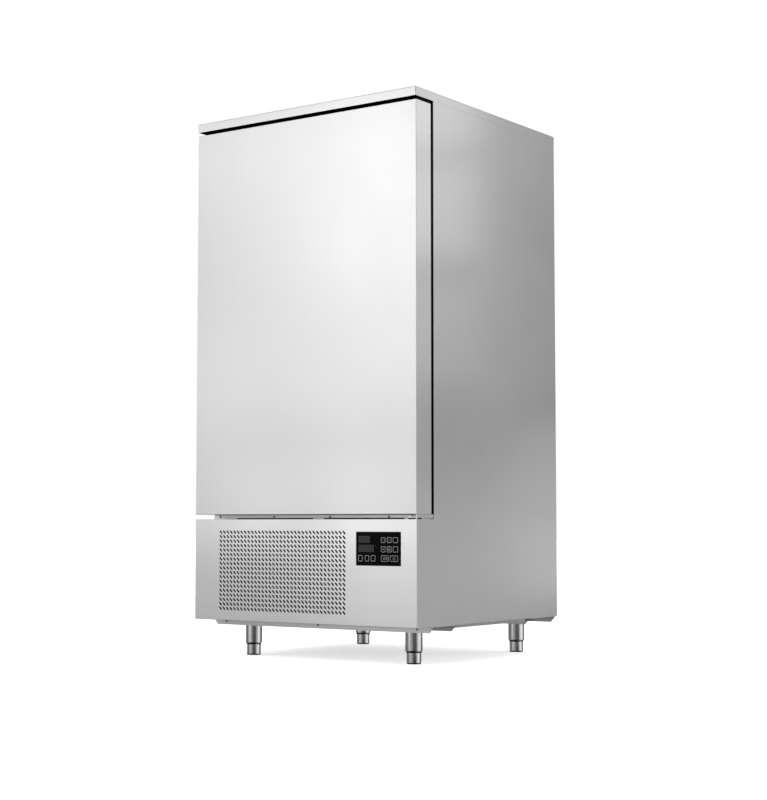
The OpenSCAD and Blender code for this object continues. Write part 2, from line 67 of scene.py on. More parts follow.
class Mat:
    """A procedural material around one Principled shader."""

    def __init__(self, name, **values):
        self.m = bpy.data.materials.new(name)
        self.m.use_nodes = True
        self.nt = self.m.node_tree
        self.nt.nodes.clear()
        out = self.nt.nodes.new("ShaderNodeOutputMaterial")
        self.p = self.nt.nodes.new("ShaderNodeBsdfPrincipled")
        self.nt.links.new(self.p.outputs[0], out.inputs[0])
        self.co = self.nt.nodes.new("ShaderNodeTexCoord").outputs["Object"]
        for k, v in values.items():
            self.p.inputs[k.replace("_", " ")].default_value = v

    def link(self, a, b):
        self.nt.links.new(a, b)

    def mapped(self, scale, rot=(0, 0, 0)):
        n = self.nt.nodes.new("ShaderNodeMapping")
        n.inputs["Scale"].default_value = scale
        n.inputs["Rotation"].default_value = rot
        self.link(self.co, n.inputs["Vector"])
        return n.outputs[0]

    def noise(self, vector, scale=1.0, detail=2.0, rough=0.5, distortion=0.0):
        n = self.nt.nodes.new("ShaderNodeTexNoise")
        n.inputs["Scale"].default_value = scale
        n.inputs["Detail"].default_value = detail
        n.inputs["Roughness"].default_value = rough
        n.inputs["Distortion"].default_value = distortion
        self.link(vector, n.inputs["Vector"])
        return n.outputs["Fac"]

    def voronoi(self, vector, scale, feature="F1"):
        n = self.nt.nodes.new("ShaderNodeTexVoronoi")
        n.feature = feature
        n.inputs["Scale"].default_value = scale
        self.link(vector, n.inputs["Vector"])
        return n.outputs["Distance"]

    def wave(self, vector, scale, direction="X", distortion=0.0):
        n = self.nt.nodes.new("ShaderNodeTexWave")
        n.bands_direction = direction
        n.inputs["Scale"].default_value = scale
        n.inputs["Distortion"].default_value = distortion
        self.link(vector, n.inputs["Vector"])
        return n.outputs["Fac"]

    def spread(self, value, a, b, lo=0.3, hi=0.7):
        """Value from lo..hi to a..b."""
        n = self.nt.nodes.new("ShaderNodeMapRange")
        for k, v in zip(("From Min", "From Max", "To Min", "To Max"), (lo, hi, a, b)):
            n.inputs[k].default_value = v
        self.link(value, n.inputs["Value"])
        return n.outputs[0]

    def colour(self, value, a, b, lo=0.3, hi=0.7):
        """Colour from a to b as value goes from lo to hi."""
        n = self.nt.nodes.new("ShaderNodeValToRGB")
        n.color_ramp.elements[0].position = lo
        n.color_ramp.elements[1].position = hi
        n.color_ramp.elements[0].color = (*a, 1)
        n.color_ramp.elements[1].color = (*b, 1)
        self.link(value, n.inputs[0])
        return n.outputs[0]

    def math(self, kind, a, b):
        n = self.nt.nodes.new("ShaderNodeMath")
        n.operation = kind
        for i, v in enumerate((a, b)):
            if isinstance(v, (int, float)):
                n.inputs[i].default_value = v
            else:
                self.link(v, n.inputs[i])
        return n.outputs[0]

    def bump(self, height, strength, distance):
        n = self.nt.nodes.new("ShaderNodeBump")
        n.inputs["Strength"].default_value = strength
        n.inputs["Distance"].default_value = distance
        self.link(height, n.inputs["Height"])
        self.link(n.outputs[0], self.p.inputs["Normal"])

    def to(self, socket, value):
        self.link(value, self.p.inputs[socket])
        return self


def grey(v, warm=0.0):
    return (v * (1 + warm), v, v * (1 - warm))


def brushed(name, grain, base=0.66, rough=0.36, warm=0.0, strength=0.05, cloud=0.02):
    """Satin sheet: fine lines along one axis, and a slow unevenness of the finish."""
    m = Mat(name, Metallic=1.0)
    fine, broad = [1500.0] * 3, [130.0] * 3
    fine["XYZ".index(grain)], broad["XYZ".index(grain)] = 9.0, 2.0
    g = m.noise(m.mapped(fine), 1.0, 3.0, 0.6)
    b = m.noise(m.mapped(broad), 1.0, 2.0, 0.5)
    c = m.noise(m.mapped((1, 1, 1)), 3.2, 3.0, 0.55)
    lines = m.math("ADD", m.math("MULTIPLY", g, 0.6), m.math("MULTIPLY", b, 0.4))
    both = m.math("ADD", m.math("MULTIPLY", lines, 0.6), m.math("MULTIPLY", c, 0.4))
    m.to("Base Color", m.colour(both, grey(base - cloud, warm), grey(base + cloud, warm)))
    m.to("Roughness", m.spread(both, rough - 0.035, rough + 0.035))
    m.bump(lines, strength, 0.0002)
    return m.m


def galvanised(name, base=0.5):
    m = Mat(name, Metallic=0.85)
    v = m.voronoi(m.mapped((1, 1, 1)), 70.0)
    n = m.noise(m.mapped((1, 1, 1)), 45.0, 4.0, 0.6)
    s = m.math("ADD", m.math("MULTIPLY", v, 0.6), m.math("MULTIPLY", n, 0.5))
    m.to("Base Color", m.colour(s, grey(base * 0.82, -0.01), grey(base * 1.1, -0.01)))
    m.to("Roughness", m.spread(s, 0.36, 0.52))
    m.bump(n, 0.08, 0.0003)
    return m.m


def polished(name, base=0.6, rough=0.14, grain=1100.0):
    """Turned or drawn metal: rings or lines round the part."""
    m = Mat(name, Metallic=1.0)
    g = m.noise(m.mapped((12, 12, grain)), 1.0, 2.0, 0.5)
    n = m.noise(m.mapped((1, 1, 1)), 30.0, 3.0, 0.5)
    s = m.math("ADD", m.math("MULTIPLY", g, 0.5), m.math("MULTIPLY", n, 0.5))
    m.to("Base Color", m.colour(s, grey(base * 0.94), grey(base * 1.05)))
    m.to("Roughness", m.spread(s, rough - 0.03, rough + 0.04))
    m.bump(g, 0.03, 0.0002)
    return m.m


def plastic(name, colour, rough=0.45, scale=900.0, strength=0.12, vary=0.12, gloss=0.5):
    """Moulded plastic with a fine spark-eroded grain."""
    m = Mat(name, Specular_IOR_Level=gloss)
    n = m.noise(m.mapped((1, 1, 1)), scale, 2.0, 0.6)
    c = m.noise(m.mapped((1, 1, 1)), 9.0, 3.0, 0.5)
    s = m.math("ADD", m.math("MULTIPLY", n, 0.35), m.math("MULTIPLY", c, 0.65))
    m.to("Base Color", m.colour(s, tuple(v * (1 - vary) for v in colour), tuple(v * (1 + vary) for v in colour)))
    m.to("Roughness", m.spread(s, rough - 0.05, rough + 0.06))
    m.bump(n, strength, 0.0003)
    return m.m


M = {
    "steel_z": brushed("satin_steel_upright", "Z"),
    "steel_x": brushed("satin_steel_across", "X"),
    "steel_y": brushed("satin_steel_deep", "Y"),
    "steel_low": brushed("satin_steel_panel", "X", 0.67, 0.29, 0.0, 0.01, 0.01),
    # a lighter copy of the upright satin steel for the door's sides: painted light
    "steel_side_lit": brushed("satin_steel_side_lit", "Z", 0.73, 0.34),
    "inner": brushed("chamber_steel", "Z", 0.6, 0.42, 0.0, 0.05, 0.02),
    "galv": galvanised("galvanised_sheet"),
    "polished": polished("turned_steel"),
    "black": plastic("black_plastic", (0.004, 0.004, 0.0045), 0.55, gloss=0.1),
    "rubber": plastic("seal_rubber", (0.006, 0.006, 0.0065), 0.7, 700.0, 0.2, gloss=0.15),
    "pale": plastic("pale_plastic", (0.62, 0.61, 0.58), 0.42),
    "facia": plastic("facia_black", (0.0022, 0.0022, 0.0024), 0.28, 1600.0, 0.04, 0.2, gloss=0.035),
    "mark": plastic("facia_print", (0.88, 0.875, 0.87), 0.5, 1600.0, 0.03, 0.05, gloss=0.2),
    "mark_dim": plastic("facia_print_dim", (0.09, 0.09, 0.09), 0.5, 1600.0, 0.03, 0.05, gloss=0.15),
    "window": plastic("display_window", (0.098, 0.098, 0.101), 0.22, 1600.0, 0.02, 0.05, gloss=0.04),
    "window_rim": plastic("display_rim", (0.11, 0.11, 0.113), 0.3, 1600.0, 0.02, 0.05, gloss=0.04),
    "segment": plastic("display_segment", (0.104, 0.102, 0.102), 0.4, 1600.0, 0.02, 0.05, gloss=0.04),
    "paint": plastic("motor_paint", (0.02, 0.021, 0.023), 0.36, 300.0, 0.25),
    # near-black paint for the upper hinge bracket: painted shade in the gap above the door
    "paint_shade": plastic("bracket_painted_shade", (0.006, 0.006, 0.0065), 0.5, 300.0, 0.2, gloss=0.1),
    "fan": plastic("fan_blade_plastic", (0.035, 0.036, 0.038), 0.4),
}


def board_material():
    m = Mat("circuit_board", Roughness=0.35, **{"Coat_Weight": 0.4})
    v = m.voronoi(m.mapped((1, 0.2, 1)), 260.0, "DISTANCE_TO_EDGE")
    n = m.noise(m.mapped((1, 1, 1)), 60.0, 3.0, 0.5)
    s = m.math("ADD", m.math("MULTIPLY", v, 2.0), m.math("MULTIPLY", n, 0.3))
    m.to("Base Color", m.colour(s, (0.35, 0.26, 0.08), (0.012, 0.11, 0.045), 0.12, 0.22))
    m.bump(s, 0.2, 0.0002)
    return m.m


def foam_material():
    m = Mat("foam")
    v = m.voronoi(m.mapped((1, 1, 1)), 420.0)
    n = m.noise(m.mapped((1, 1, 1)), 25.0, 4.0, 0.6)
    s = m.math("ADD", m.math("MULTIPLY", v, 0.7), m.math("MULTIPLY", n, 0.5))
    m.to("Base Color", m.colour(s, (0.42, 0.33, 0.16), (0.72, 0.62, 0.38)))
    m.to("Roughness", m.spread(s, 0.8, 0.95))
    m.bump(v, 0.6, 0.001)
    return m.m


def copper_material():
    m = Mat("copper_pipe", Metallic=1.0)
    n = m.noise(m.mapped((1, 1, 1)), 22.0, 4.0, 0.6)
    f = m.noise(m.mapped((1, 1, 1)), 400.0, 2.0, 0.5)
    m.to("Base Color", m.colour(n, (0.42, 0.17, 0.08), (0.78, 0.38, 0.22)))
    m.to("Roughness", m.spread(n, 0.24, 0.42))
    m.bump(f, 0.06, 0.0003)
    return m.m


def coil_material():
    m = Mat("coil_aluminium", Metallic=1.0)
    n = m.noise(m.mapped((1, 1, 1)), 35.0, 4.0, 0.6)
    w = m.wave(m.mapped((1, 1, 1)), 55.0, "Z")
    m.to("Base Color", m.colour(n, (0.5, 0.52, 0.54), (0.72, 0.74, 0.76)))
    m.to("Roughness", m.spread(n, 0.34, 0.5))
    m.bump(w, 0.2, 0.0006)
    return m.m


def net_material():
    m = Mat("filter_net_painted_shade", Roughness=0.85, Specular_IOR_Level=0.0)
    w1 = m.wave(m.mapped((1, 1, 1)), 220.0, "X")
    w2 = m.wave(m.mapped((1, 1, 1)), 220.0, "Z")
    w = m.math("MULTIPLY", w1, w2)
    # a black net, made near-black and glossless: partly its own colour, partly painted shade behind the grille's slots
    m.to("Base Color", m.colour(w, (0.0005, 0.0005, 0.0005), (0.003, 0.003, 0.003), 0.1, 0.9))
    m.bump(w, 0.5, 0.0008)
    return m.m


M["net"] = net_material()
M["screw"] = polished("screw_steel", 0.42, 0.3)
# near-black metal for the walls of the grille's slots: painted shade inside the slots
M["cut"] = polished("slot_wall_painted_shade", 0.05, 0.5)
M["board"] = board_material()
M["foam"] = foam_material()
M["copper"] = copper_material()
M["coil"] = coil_material()

# ------------------------------------------------------------------ mesh tools


def link_piece(name, bm, mat, body, nodes=(), sharp=34, weighted=True, mats=()):
    """Makes a piece from a bmesh in millimetres, which rides on body and stands for nodes."""
    me = bpy.data.meshes.new(name)
    for v in bm.verts:
        v.co *= MM
    bmesh.ops.remove_doubles(bm, verts=bm.verts, dist=2e-6)
    bmesh.ops.recalc_face_normals(bm, faces=bm.faces)
    bm.to_mesh(me)
    bm.free()
    for p in me.polygons:
        p.use_smooth = True
    me.set_sharp_from_angle(angle=math.radians(sharp))
    ob = bpy.data.objects.new(name, me)
    bpy.context.scene.collection.objects.link(ob)
    for m in (mat, *mats):
        me.materials.append(m)
    if weighted:
        w = ob.modifiers.new("weighted", "WEIGHTED_NORMAL")
        w.keep_sharp = True
        w.weight = 80
    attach(ob, body)
    if nodes:
        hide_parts(*nodes)
    return ob


def cad_mesh(node):
    """A bmesh of a CAD node in millimetres, with its flat faces merged."""
    bm = bmesh.new()
    bm.from_mesh(NODES[node].data)
    for v in bm.verts:
        v.co /= MM
    bmesh.ops.remove_doubles(bm, verts=bm.verts, dist=1e-3)
    bmesh.ops.dissolve_limit(bm, angle_limit=math.radians(0.6), verts=bm.verts, edges=bm.edges)
    return bm


def round_edges(bm, r, seg=2, where=None, angle=25, clamp=True):
    """Rounds the sharp edges for which where(middle, direction) holds."""
    picked = []
    for e in bm.edges:
        if len(e.link_faces) != 2 or e.calc_face_angle(0) < math.radians(angle):
            continue
        a, b = e.verts[0].co, e.verts[1].co
        if where is None or where((a + b) / 2, (b - a).normalized()):
            picked.append(e)
    if picked:
        bmesh.ops.bevel(bm, geom=picked, offset=r, offset_type="OFFSET", segments=seg, profile=0.5,
                        affect="EDGES", clamp_overlap=clamp, loop_slide=True)


def soften(node, mat, rules=((0.4, 2, None),), name=None, sharp=34):
    """A piece like a CAD node, with rounded edges: rules are (radius, segments, where)."""
    bm = cad_mesh(node)
    for r, seg, where in rules:
        round_edges(bm, r, seg, where, clamp=where is None)
    return link_piece(name or node + "_piece", bm, mat, BODY[node], (node,), sharp)


def add_box(bm, lo, hi, r=0.0, seg=2, where=None):
    """A box between two corners, its edges rounded by r where where(middle, direction) holds."""
    part = bmesh.new()
    vs = [part.verts.new((x, y, z)) for x in (lo[0], hi[0]) for y in (lo[1], hi[1]) for z in (lo[2], hi[2])]
    for q in ((0, 1, 3, 2), (4, 6, 7, 5), (0, 4, 5, 1), (2, 3, 7, 6), (0, 2, 6, 4), (1, 5, 7, 3)):
        part.faces.new([vs[i] for i in q])
    if r:
        round_edges(part, r, seg, where)
    merge(bm, part)


def merge(bm, part, matrix=None, material=0):
    """Adds part's geometry to bm and frees part."""
    if matrix is not None:
        bmesh.ops.transform(part, matrix=matrix, verts=part.verts)
    new = {v: bm.verts.new(v.co) for v in part.verts}
    for f in part.faces:
        g = bm.faces.new([new[v] for v in f.verts])
        g.material_index = material or f.material_index
    part.free()


def skin(bm, rings, closed=True, caps=True, loop=False, material=0):
    """Faces between successive rings of points."""
    vs = [[bm.verts.new(p) for p in ring] for ring in rings]
    n = len(vs[0])
    made = []
    pairs = list(zip(vs, vs[1:])) + ([(vs[-1], vs[0])] if loop else [])
    for a, b in pairs:
        for i in range(n if closed else n - 1):
            j = (i + 1) % n
            made.append(bm.faces.new((a[i], a[j], b[j], b[i])))
    if caps and not loop:
        made += [bm.faces.new(list(reversed(vs[0]))), bm.faces.new(vs[-1])]
    for f in made:
        f.material_index = material


def lathe(bm, profile, at=(0, 0, 0), axis="Z", seg=48, shape=None, material=0, loop=False):
    """Turns (radius, height) points about an axis. shape(angle) scales the radius."""
    rings = []
    for r, h in profile:
        ring = []
        for i in range(seg):
            a = 2 * PI * i / seg
            k = shape(a) if shape else 1.0
            u, v = r * k * math.cos(a), r * k * math.sin(a)
            p = {"Z": (u, v, h), "Y": (u, h, v), "X": (h, u, v)}[axis]
            ring.append(tuple(p[k] + at[k] for k in range(3)))
        rings.append(ring)
    skin(bm, rings, True, not loop, loop, material)


def hexagon(a):
    """Radius of a hexagon with inner radius 1 at angle a."""
    return 1 / math.cos((a + PI / 6) % (PI / 3) - PI / 6)


def rrect(x0, x1, z0, z1, r, n=4):
    """Points of a rectangle with round corners, anticlockwise."""
    pts = []
    for cx, cz_, a0 in ((x1 - r, z0 + r, -90), (x1 - r, z1 - r, 0), (x0 + r, z1 - r, 90), (x0 + r, z0 + r, 180)):
        for i in range(n + 1):
            a = math.radians(a0 + 90 * i / n)
            pts.append((cx + r * math.cos(a), cz_ + r * math.sin(a)))
    return pts


def circle(x, z, r, n=32):
    return [(x + r * math.cos(2 * PI * i / n), z + r * math.sin(2 * PI * i / n)) for i in range(n)]


def area(pts):
    return sum(a[0] * b[1] - b[0] * a[1] for a, b in zip(pts, pts[1:] + pts[:1])) / 2


def inset(pts, d):
    """The outline moved d to its inside, which is left of its direction."""
    out = []
    n = len(pts)
    for i in range(n):
        p0, p1, p2 = pts[i - 1], pts[i], pts[(i + 1) % n]
        a, b = (p1[0] - p0[0], p1[1] - p0[1]), (p2[0] - p1[0], p2[1] - p1[1])
        la, lb = math.hypot(*a) or 1, math.hypot(*b) or 1
        na, nb = (-a[1] / la, a[0] / la), (-b[1] / lb, b[0] / lb)
        m = (na[0] + nb[0], na[1] + nb[1])
        k = d * 2 / max(0.2, m[0] * m[0] + m[1] * m[1])
        out.append((p1[0] + m[0] * k, p1[1] + m[1] * k))
    return out


def plate(bm, outer, holes, w0, w1, r=0.3, seg=2, to3=lambda u, v, w: (u, w, v), material=0, back=True):
    """A plate with holes between depths w0 and w1, its edges rounded by r."""
    loops = [outer if area(outer) > 0 else outer[::-1]]
    loops += [h[::-1] if area(h) > 0 else h for h in holes]
    s = 1 if w1 > w0 else -1
    levels = []
    if r:
        for i in range(seg + 1):
            a = PI / 2 * i / seg
            levels.append((w0 + s * r * (1 - math.cos(a)), r * (1 - math.sin(a))))
        if back:
            levels += [(w0 + w1 - w, o) for w, o in reversed(levels)]
        else:
            levels.append((w1, 0.0))
    else:
        levels = [(w0, 0.0), (w1, 0.0)]
    first, last = [], []
    for lp in loops:
        prev = None
        for k, (w, o) in enumerate(levels):
            vs = [bm.verts.new(to3(u, v, w)) for u, v in (inset(lp, o) if o else lp)]
            if prev:
                for i in range(len(vs)):
                    j = (i + 1) % len(vs)
                    bm.faces.new((prev[i], prev[j], vs[j], vs[i])).material_index = material
            else:
                first.append(vs)
            prev = vs
        last.append(prev)
    for group in (first, last):
        flat = [v for vs in group for v in vs]
        for t in tessellate_polygon([[v.co for v in vs] for vs in group]):
            try:
                bm.faces.new([flat[i] for i in t]).material_index = material
            except ValueError:
                pass


def ring_sweep(bm, x0, x1, z0, z1, section, r=0.0, n=5, material=0):
    """Sweeps a closed section of (outward distance, y) points round a rectangle in the XZ plane."""
    rings = []
    for o, y in section:
        if r:
            ring = [(x, y, z) for x, z in rrect(x0 - o, x1 + o, z0 - o, z1 + o, max(0.05, r + o), n)]
        else:
            ring = [(x0 - o, y, z0 - o), (x1 + o, y, z0 - o), (x1 + o, y, z1 + o), (x0 - o, y, z1 + o)]
        rings.append(ring)
    skin(bm, rings, True, False, True, material)


def bent(path, fillet, n=6):
    """The path with its corners turned into arcs of about that radius."""
    pts = [Vector(p) for p in path]
    out = [pts[0]]
    for a, b, c in zip(pts, pts[1:], pts[2:]):
        u, v = (a - b), (c - b)
        f = min(fillet, u.length * 0.48, v.length * 0.48)
        p, q = b + u.normalized() * f, b + v.normalized() * f
        for i in range(n + 1):
            t = i / n
            out.append(p * (1 - t) ** 2 + b * 2 * t * (1 - t) + q * t * t)
    out.append(pts[-1])
    return out


def tube(bm, path, r, fillet=0.0, seg=12, loop=False, caps=True, material=0):
    """A round bar or pipe along a path."""
    pts = bent(path, fillet) if fillet else [Vector(p) for p in path]
    rings, up = [], None
    n = len(pts)
    for i, p in enumerate(pts):
        if loop:
            d = (pts[(i + 1) % n] - pts[i - 1]).normalized()
        else:
            d = (pts[min(i + 1, n - 1)] - pts[max(i - 1, 0)]).normalized()
        if up is None:
            up = d.orthogonal().normalized()
        up = (up - d * up.dot(d)).normalized()
        side = d.cross(up)
        rings.append([tuple(p + (up * math.cos(2 * PI * k / seg) + side * math.sin(2 * PI * k / seg)) * r) for k in range(seg)])
    skin(bm, rings, True, caps, loop, material)


def near(a, b, tol=0.6):
    return abs(a - b) < tol


# ----------------------------------------------------------------- outer shell


def on_rim(m, lo=None, hi=None):
    return near(abs(m.x), dw) or near(m.z, zD) or near(m.z, zE)


# folded lid: round bends along the top and the corners, thin lower rim
soften("top_panel", M["steel_x"], (
    (2.0, 3, lambda m, d: m.z > zM - 0.5),
    (1.4, 3, lambda m, d: abs(d.z) > 0.9 and near(abs(m.x), hw, 1.0) and near(abs(m.y), yR, 1.0)),
    (0.85, 3, lambda m, d: m.z < zL + 0.5 and near(abs(m.x), hw, 0.3) and abs(d.y) > 0.9),
    (0.25, 2, lambda m, d: m.z < zL + 0.1 and not near(abs(m.x), hw, 1.15)),
))
# the black trim round the body's face: painted shade, a dark strip standing in for the shade in the gaps round the door
# and under the sill
soften("front_trim", M["black"], ((0.3, 2, None),))
for side in ("left", "right"):
    soften("side_panel_" + side, M["steel_z"], (
        (0.5, 2, lambda m, d: abs(d.z) > 0.9 and near(abs(m.x), hw) and near(m.y, yB)),
        (0.3, 2, None),
    ))
soften("front_frame", M["steel_x"], ((0.3, 2, None),))
soften("breaker_strip", M["black"], ((1.2, 3, None),))
soften("compartment_roof", M["galv"], ((0.3, 2, None),))
soften("base_pan", M["galv"], ((0.3, 2, None),))
soften("crossmembers", M["steel_x"], ((0.6, 2, None),))
soften("base_runners", M["galv"], ((1.0, 2, None),))
soften("electrical_box", M["galv"], ((0.6, 2, None),))
soften("condenser_shroud", M["galv"], ((0.6, 2, None),))
soften("circuit_boards", M["board"], ((0.3, 2, None),))


def rear_panel():
    """Rear sheet with its vents: each slot has a pressed hood over it, and rivets hold the sheet."""
    bm = bmesh.new()
    slots = [(x, z) for x in [-290 + 72.5 * i for i in range(9)] for z in range(164, 365, 20)]
    holes = [rrect(x - 28, x + 28, z, z + 6, 2.9, 4) for x, z in slots]
    plate(bm, [(-hw + 1.2, zP), (hw - 1.2, zP), (hw - 1.2, zL), (-hw + 1.2, zL)], holes, yR, yR - 1.2, 0.3, 2)
    link_piece("rear_panel_piece", bm, M["steel_z"], "cabinet", ("rear_panel",), 30)
    bm = bmesh.new()
    for x, z in slots:
        # hood: a shallow half shell inside the cabinet, over the upper edge of the slot
        rings = []
        for i in range(6):
            a = PI / 2 * i / 5
            y, h = yR - 1.2 - 7.0 * math.sin(a), z + 7.5 - 6.5 * (1 - math.cos(a))
            rings.append([(x - 29, y, h), (x + 29, y, h), (x + 29, y - 0.8 * math.sin(a) - 0.01, h + 0.8 * math.cos(a)), (x - 29, y - 0.8 * math.sin(a) - 0.01, h + 0.8 * math.cos(a))])
        skin(bm, rings)
    link_piece("rear_vent_hoods", bm, M["steel_z"], "cabinet")
    bm = bmesh.new()
    for x in (-403, 403):
        for i in range(9):
            lathe(bm, [(3.6, 0.0), (3.5, 0.5), (2.6, 1.2), (1.2, 1.5), (0.3, 1.55)], (x, yR, 140 + i * 183), "Y", 16)
    for x in [-350 + 100 * i for i in range(8)]:
        for z in (zP + 10, zL - 10):
            lathe(bm, [(3.6, 0.0), (3.5, 0.5), (2.6, 1.2), (1.2, 1.5), (0.3, 1.55)], (x, yR, z), "Y", 16)
    link_piece("rear_rivets", bm, M["polished"], "cabinet")


rear_panel()

# ------------------------------------------------------------------------ door

skin_piece = soften("door_skin", M["steel_z"], (
    (1.0, 3, lambda m, d: near(m.y, yF)),
    (0.8, 3, lambda m, d: abs(d.y) > 0.9 and near(abs(m.x), dw) and (near(m.z, zD, 2) or near(m.z, zE, 2))),
    (0.3, 2, lambda m, d: near(m.y, yK) and on_rim(m)),
))
# the folded sides of the skin take a lighter copy of the same steel, painted light that makes them a little brighter
# than its face
skin_piece.data.materials.append(M["steel_side_lit"])
for face in skin_piece.data.polygons:
    if abs(face.normal.x) > 0.95:
        face.material_index = 1


def door_inner():
    bm = bmesh.new()
    a, b, z0, z1 = -dw + 1.2, dw - 1.2, zD + 1.2, zE - 1.2
    rings = []
    for y, x_in, z_lo, z_hi, r in (
        (yK - 1.0, 0.0, 0.0, 0.0, 1.0), (yK, 0.0, 0.0, 0.0, 1.0),
        (yK, 102.3, 93.8, 74.8, 24.0), (yK + 0.6, 103.3, 94.8, 75.8, 23.0),
        (yK + 4.4, 107.0, 98.5, 79.5, 20.0), (yK + 5.0, 108.4, 99.9, 80.9, 18.5),
        (yK + 5.0, 136.0, 127.5, 108.5, 14.0), (yK + 4.6, 137.0, 128.5, 109.5, 13.5),
        (yK + 2.4, 140.0, 131.5, 112.5, 12.0), (yK + 2.0, 141.2, 132.7, 113.7, 11.0),
    ):
        rings.append([(x, y, z) for x, z in rrect(a + x_in, b - x_in, z0 + z_lo, z1 - z_hi, r, 6)])
    skin(bm, rings)
    link_piece("door_liner_piece", bm, M["inner"], "door", ("door_liner",))

    bm = bmesh.new()
    plate(bm, rrect(-dw + 1.5, dw - 1.5, zD + 1.5, zE - 1.5, 2.5, 4), [rrect(-345, 345, 480, 1600, 6, 4)], yK, yK + 7, 1.2, 3)
    link_piece("door_frame_piece", bm, M["black"], "door", ("door_frame",))

    # magnetic seal: foot, bellows and a lip with a crease along its middle
    bm = bmesh.new()
    sec = [(0.30, -314.5), (0.70, -314.5), (0.72, -313.6), (0.96, -313.2), (1.0, -312.6), (0.96, -312.0), (0.80, -311.7),
           (0.96, -311.3), (1.0, -310.4), (0.97, -309.3), (0.88, -308.85), (0.56, -308.8), (0.5, -309.3), (0.44, -308.8),
           (0.12, -308.85), (0.03, -309.3), (0.0, -310.4), (0.04, -311.3), (0.20, -311.7), (0.04, -312.0), (0.0, -312.6),
           (0.04, -313.2), (0.28, -313.6)]
    rings = []
    for t, y in sec:
        rings.append([(x, y, z) for x, z in rrect(-355 - 25 * t, 355 + 25 * t, 475 - 25 * t, 1605 + 12 * t, 3 + 4 * t, 4)])
    skin(bm, rings, True, False, True)
    link_piece("door_gasket_piece", bm, M["rubber"], "door", ("door_gasket",))


door_inner()
soften("door_grip", M["black"], ((1.1, 3, None),))
soften("hinge_bushes", M["pale"], ((0.5, 2, None),))


def hinge_brackets():
    """The lower bracket is bare steel; the upper one is painted black, painted shade standing in for the shadow in the
    gap above the door.
    """
    for name, mat, slot, low in (("hinge_bracket_lower", M["steel_x"], "stainless", True),
                                 ("hinge_bracket_upper", M["paint_shade"], "motor_paint", False)):
        bm = cad_mesh("hinge_brackets")
        gone = [v for v in bm.verts if (v.co.z < 1000) != low]
        bmesh.ops.delete(bm, geom=gone, context="VERTS")
        round_edges(bm, 0.6, 2)
        link_piece(name, bm, mat, "cabinet", ("hinge_brackets",))


hinge_brackets()

# -------------------------------------------------- lower panel and its grille


def lower_panel():
    bm = bmesh.new()
    P, Q, nc, nr = 13.85, 13.65, 35, 18
    gx, gz = -hw + 98.2 + 5.25, zP + 30.6 + 4.9
    y0, y1, e = yF, yF + 1.2, 0.3
    t = 1 / 3
    rim = [(-1, -1), (-t, -1), (t, -1), (1, -1), (1, -t), (1, t), (1, 1), (1, 1), (t, 1), (-t, 1), (-1, 1), (-1, t), (-1, -t), (-1, -1)]
    s = math.sqrt(0.5)

    def capsule(r):
        pts = []
        for sign, a0 in ((1, -135), (-1, 45)):
            for i in range(7):
                a = math.radians(a0 + 30 * i)
                pts.append((sign * s * 4.2 + r * math.cos(a), -sign * s * 4.2 + r * math.sin(a)))
        return pts

    wide, slot = capsule(2.2 + e), capsule(2.2)
    for i in range(nc):
        for k in range(nr):
            cx, cz_ = gx + i * P, gz + k * Q
            levels = []
            for pts, y in ((wide, y0), (slot, y0 + e), (slot, y1)):
                levels.append([bm.verts.new((cx + u, y, cz_ + v)) for u, v in pts])
            for y, lvl in ((y0, levels[0]), (y1, levels[2])):
                edge = {}
                out = []
                for u, v in rim:
                    if (u, v) not in edge:
                        edge[(u, v)] = bm.verts.new((cx + u * P / 2, y, cz_ + v * Q / 2))
                    out.append(edge[(u, v)])
                for a in range(14):
                    b = (a + 1) % 14
                    loop = [out[a], out[b], lvl[b], lvl[a]]
                    loop = [q for n_, q in enumerate(loop) if q not in loop[:n_]]
                    if len(loop) > 2:
                        bm.faces.new(loop)
            # the slot walls take material 1, the near-black metal: painted shade inside the slots
            for l0, l1 in zip(levels, levels[1:]):
                for a in range(14):
                    b = (a + 1) % 14
                    bm.faces.new((l0[a], l0[b], l1[b], l1[a])).material_index = 1
    # the plain sheet round the grille, with the opening for the control unit
    x0, x1 = gx - P / 2, gx + (nc - 0.5) * P
    z0, z1 = gz - Q / 2, gz + (nr - 0.5) * Q
    edge = []
    for i in range(nc * 3):
        edge.append((x0 + i * P / 3, z0))
    for k in range(nr * 3):
        edge.append((x1, z0 + k * Q / 3))
    for i in range(nc * 3):
        edge.append((x1 - i * P / 3, z1))
    for k in range(nr * 3):
        edge.append((x0, z1 - k * Q / 3))
    hole = rrect(cu + 3, cu + cu_w - 3, cz - cu_h + 3, cz - 3, 1.5, 3)
    outer = rrect(-hw, hw, zP, zT, 0.7, 3)
    rings = []
    r = 0.7
    for w, o in ((y0, r), (y0 + r * 0.3, r * 0.3), (y0 + r, 0.0), (y1, 0.0)):
        rings.append([bm.verts.new((u, w, v)) for u, v in (inset(outer, o) if o else outer)])
    holes = [[bm.verts.new((u, w, v)) for u, v in hole] for w in (y0, y1)]
    for a, b in list(zip(rings, rings[1:])) + [(holes[0], holes[1])]:
        for i in range(len(a)):
            j = (i + 1) % len(a)
            bm.faces.new((a[i], a[j], b[j], b[i]))
    for ring, hv, y in ((rings[0], holes[0], y0), (rings[-1], holes[1], y1)):
        gv = [bm.verts.new((u, y, v)) for u, v in edge]
        groups = [ring, gv[::-1], hv[::-1]]
        flat = [v for g in groups for v in g]
        for tri in tessellate_polygon([[v.co for v in g] for g in groups]):
            bm.faces.new([flat[q] for q in tri])
    # returns along the top and bottom
    add_box(bm, (-hw + 1.3, yF + 1.15, zT - 1.2), (hw - 1.3, yF + 21.5, zT), 0.3, 2)
    add_box(bm, (-hw + 1.3, yF + 1.15, zP), (hw - 1.3, yF + 21.5, zP + 1.2), 0.3, 2)
    link_piece("lower_front_panel_piece", bm, M["steel_low"], "cabinet", ("lower_front_panel",), 30, mats=(M["cut"],))


lower_panel()


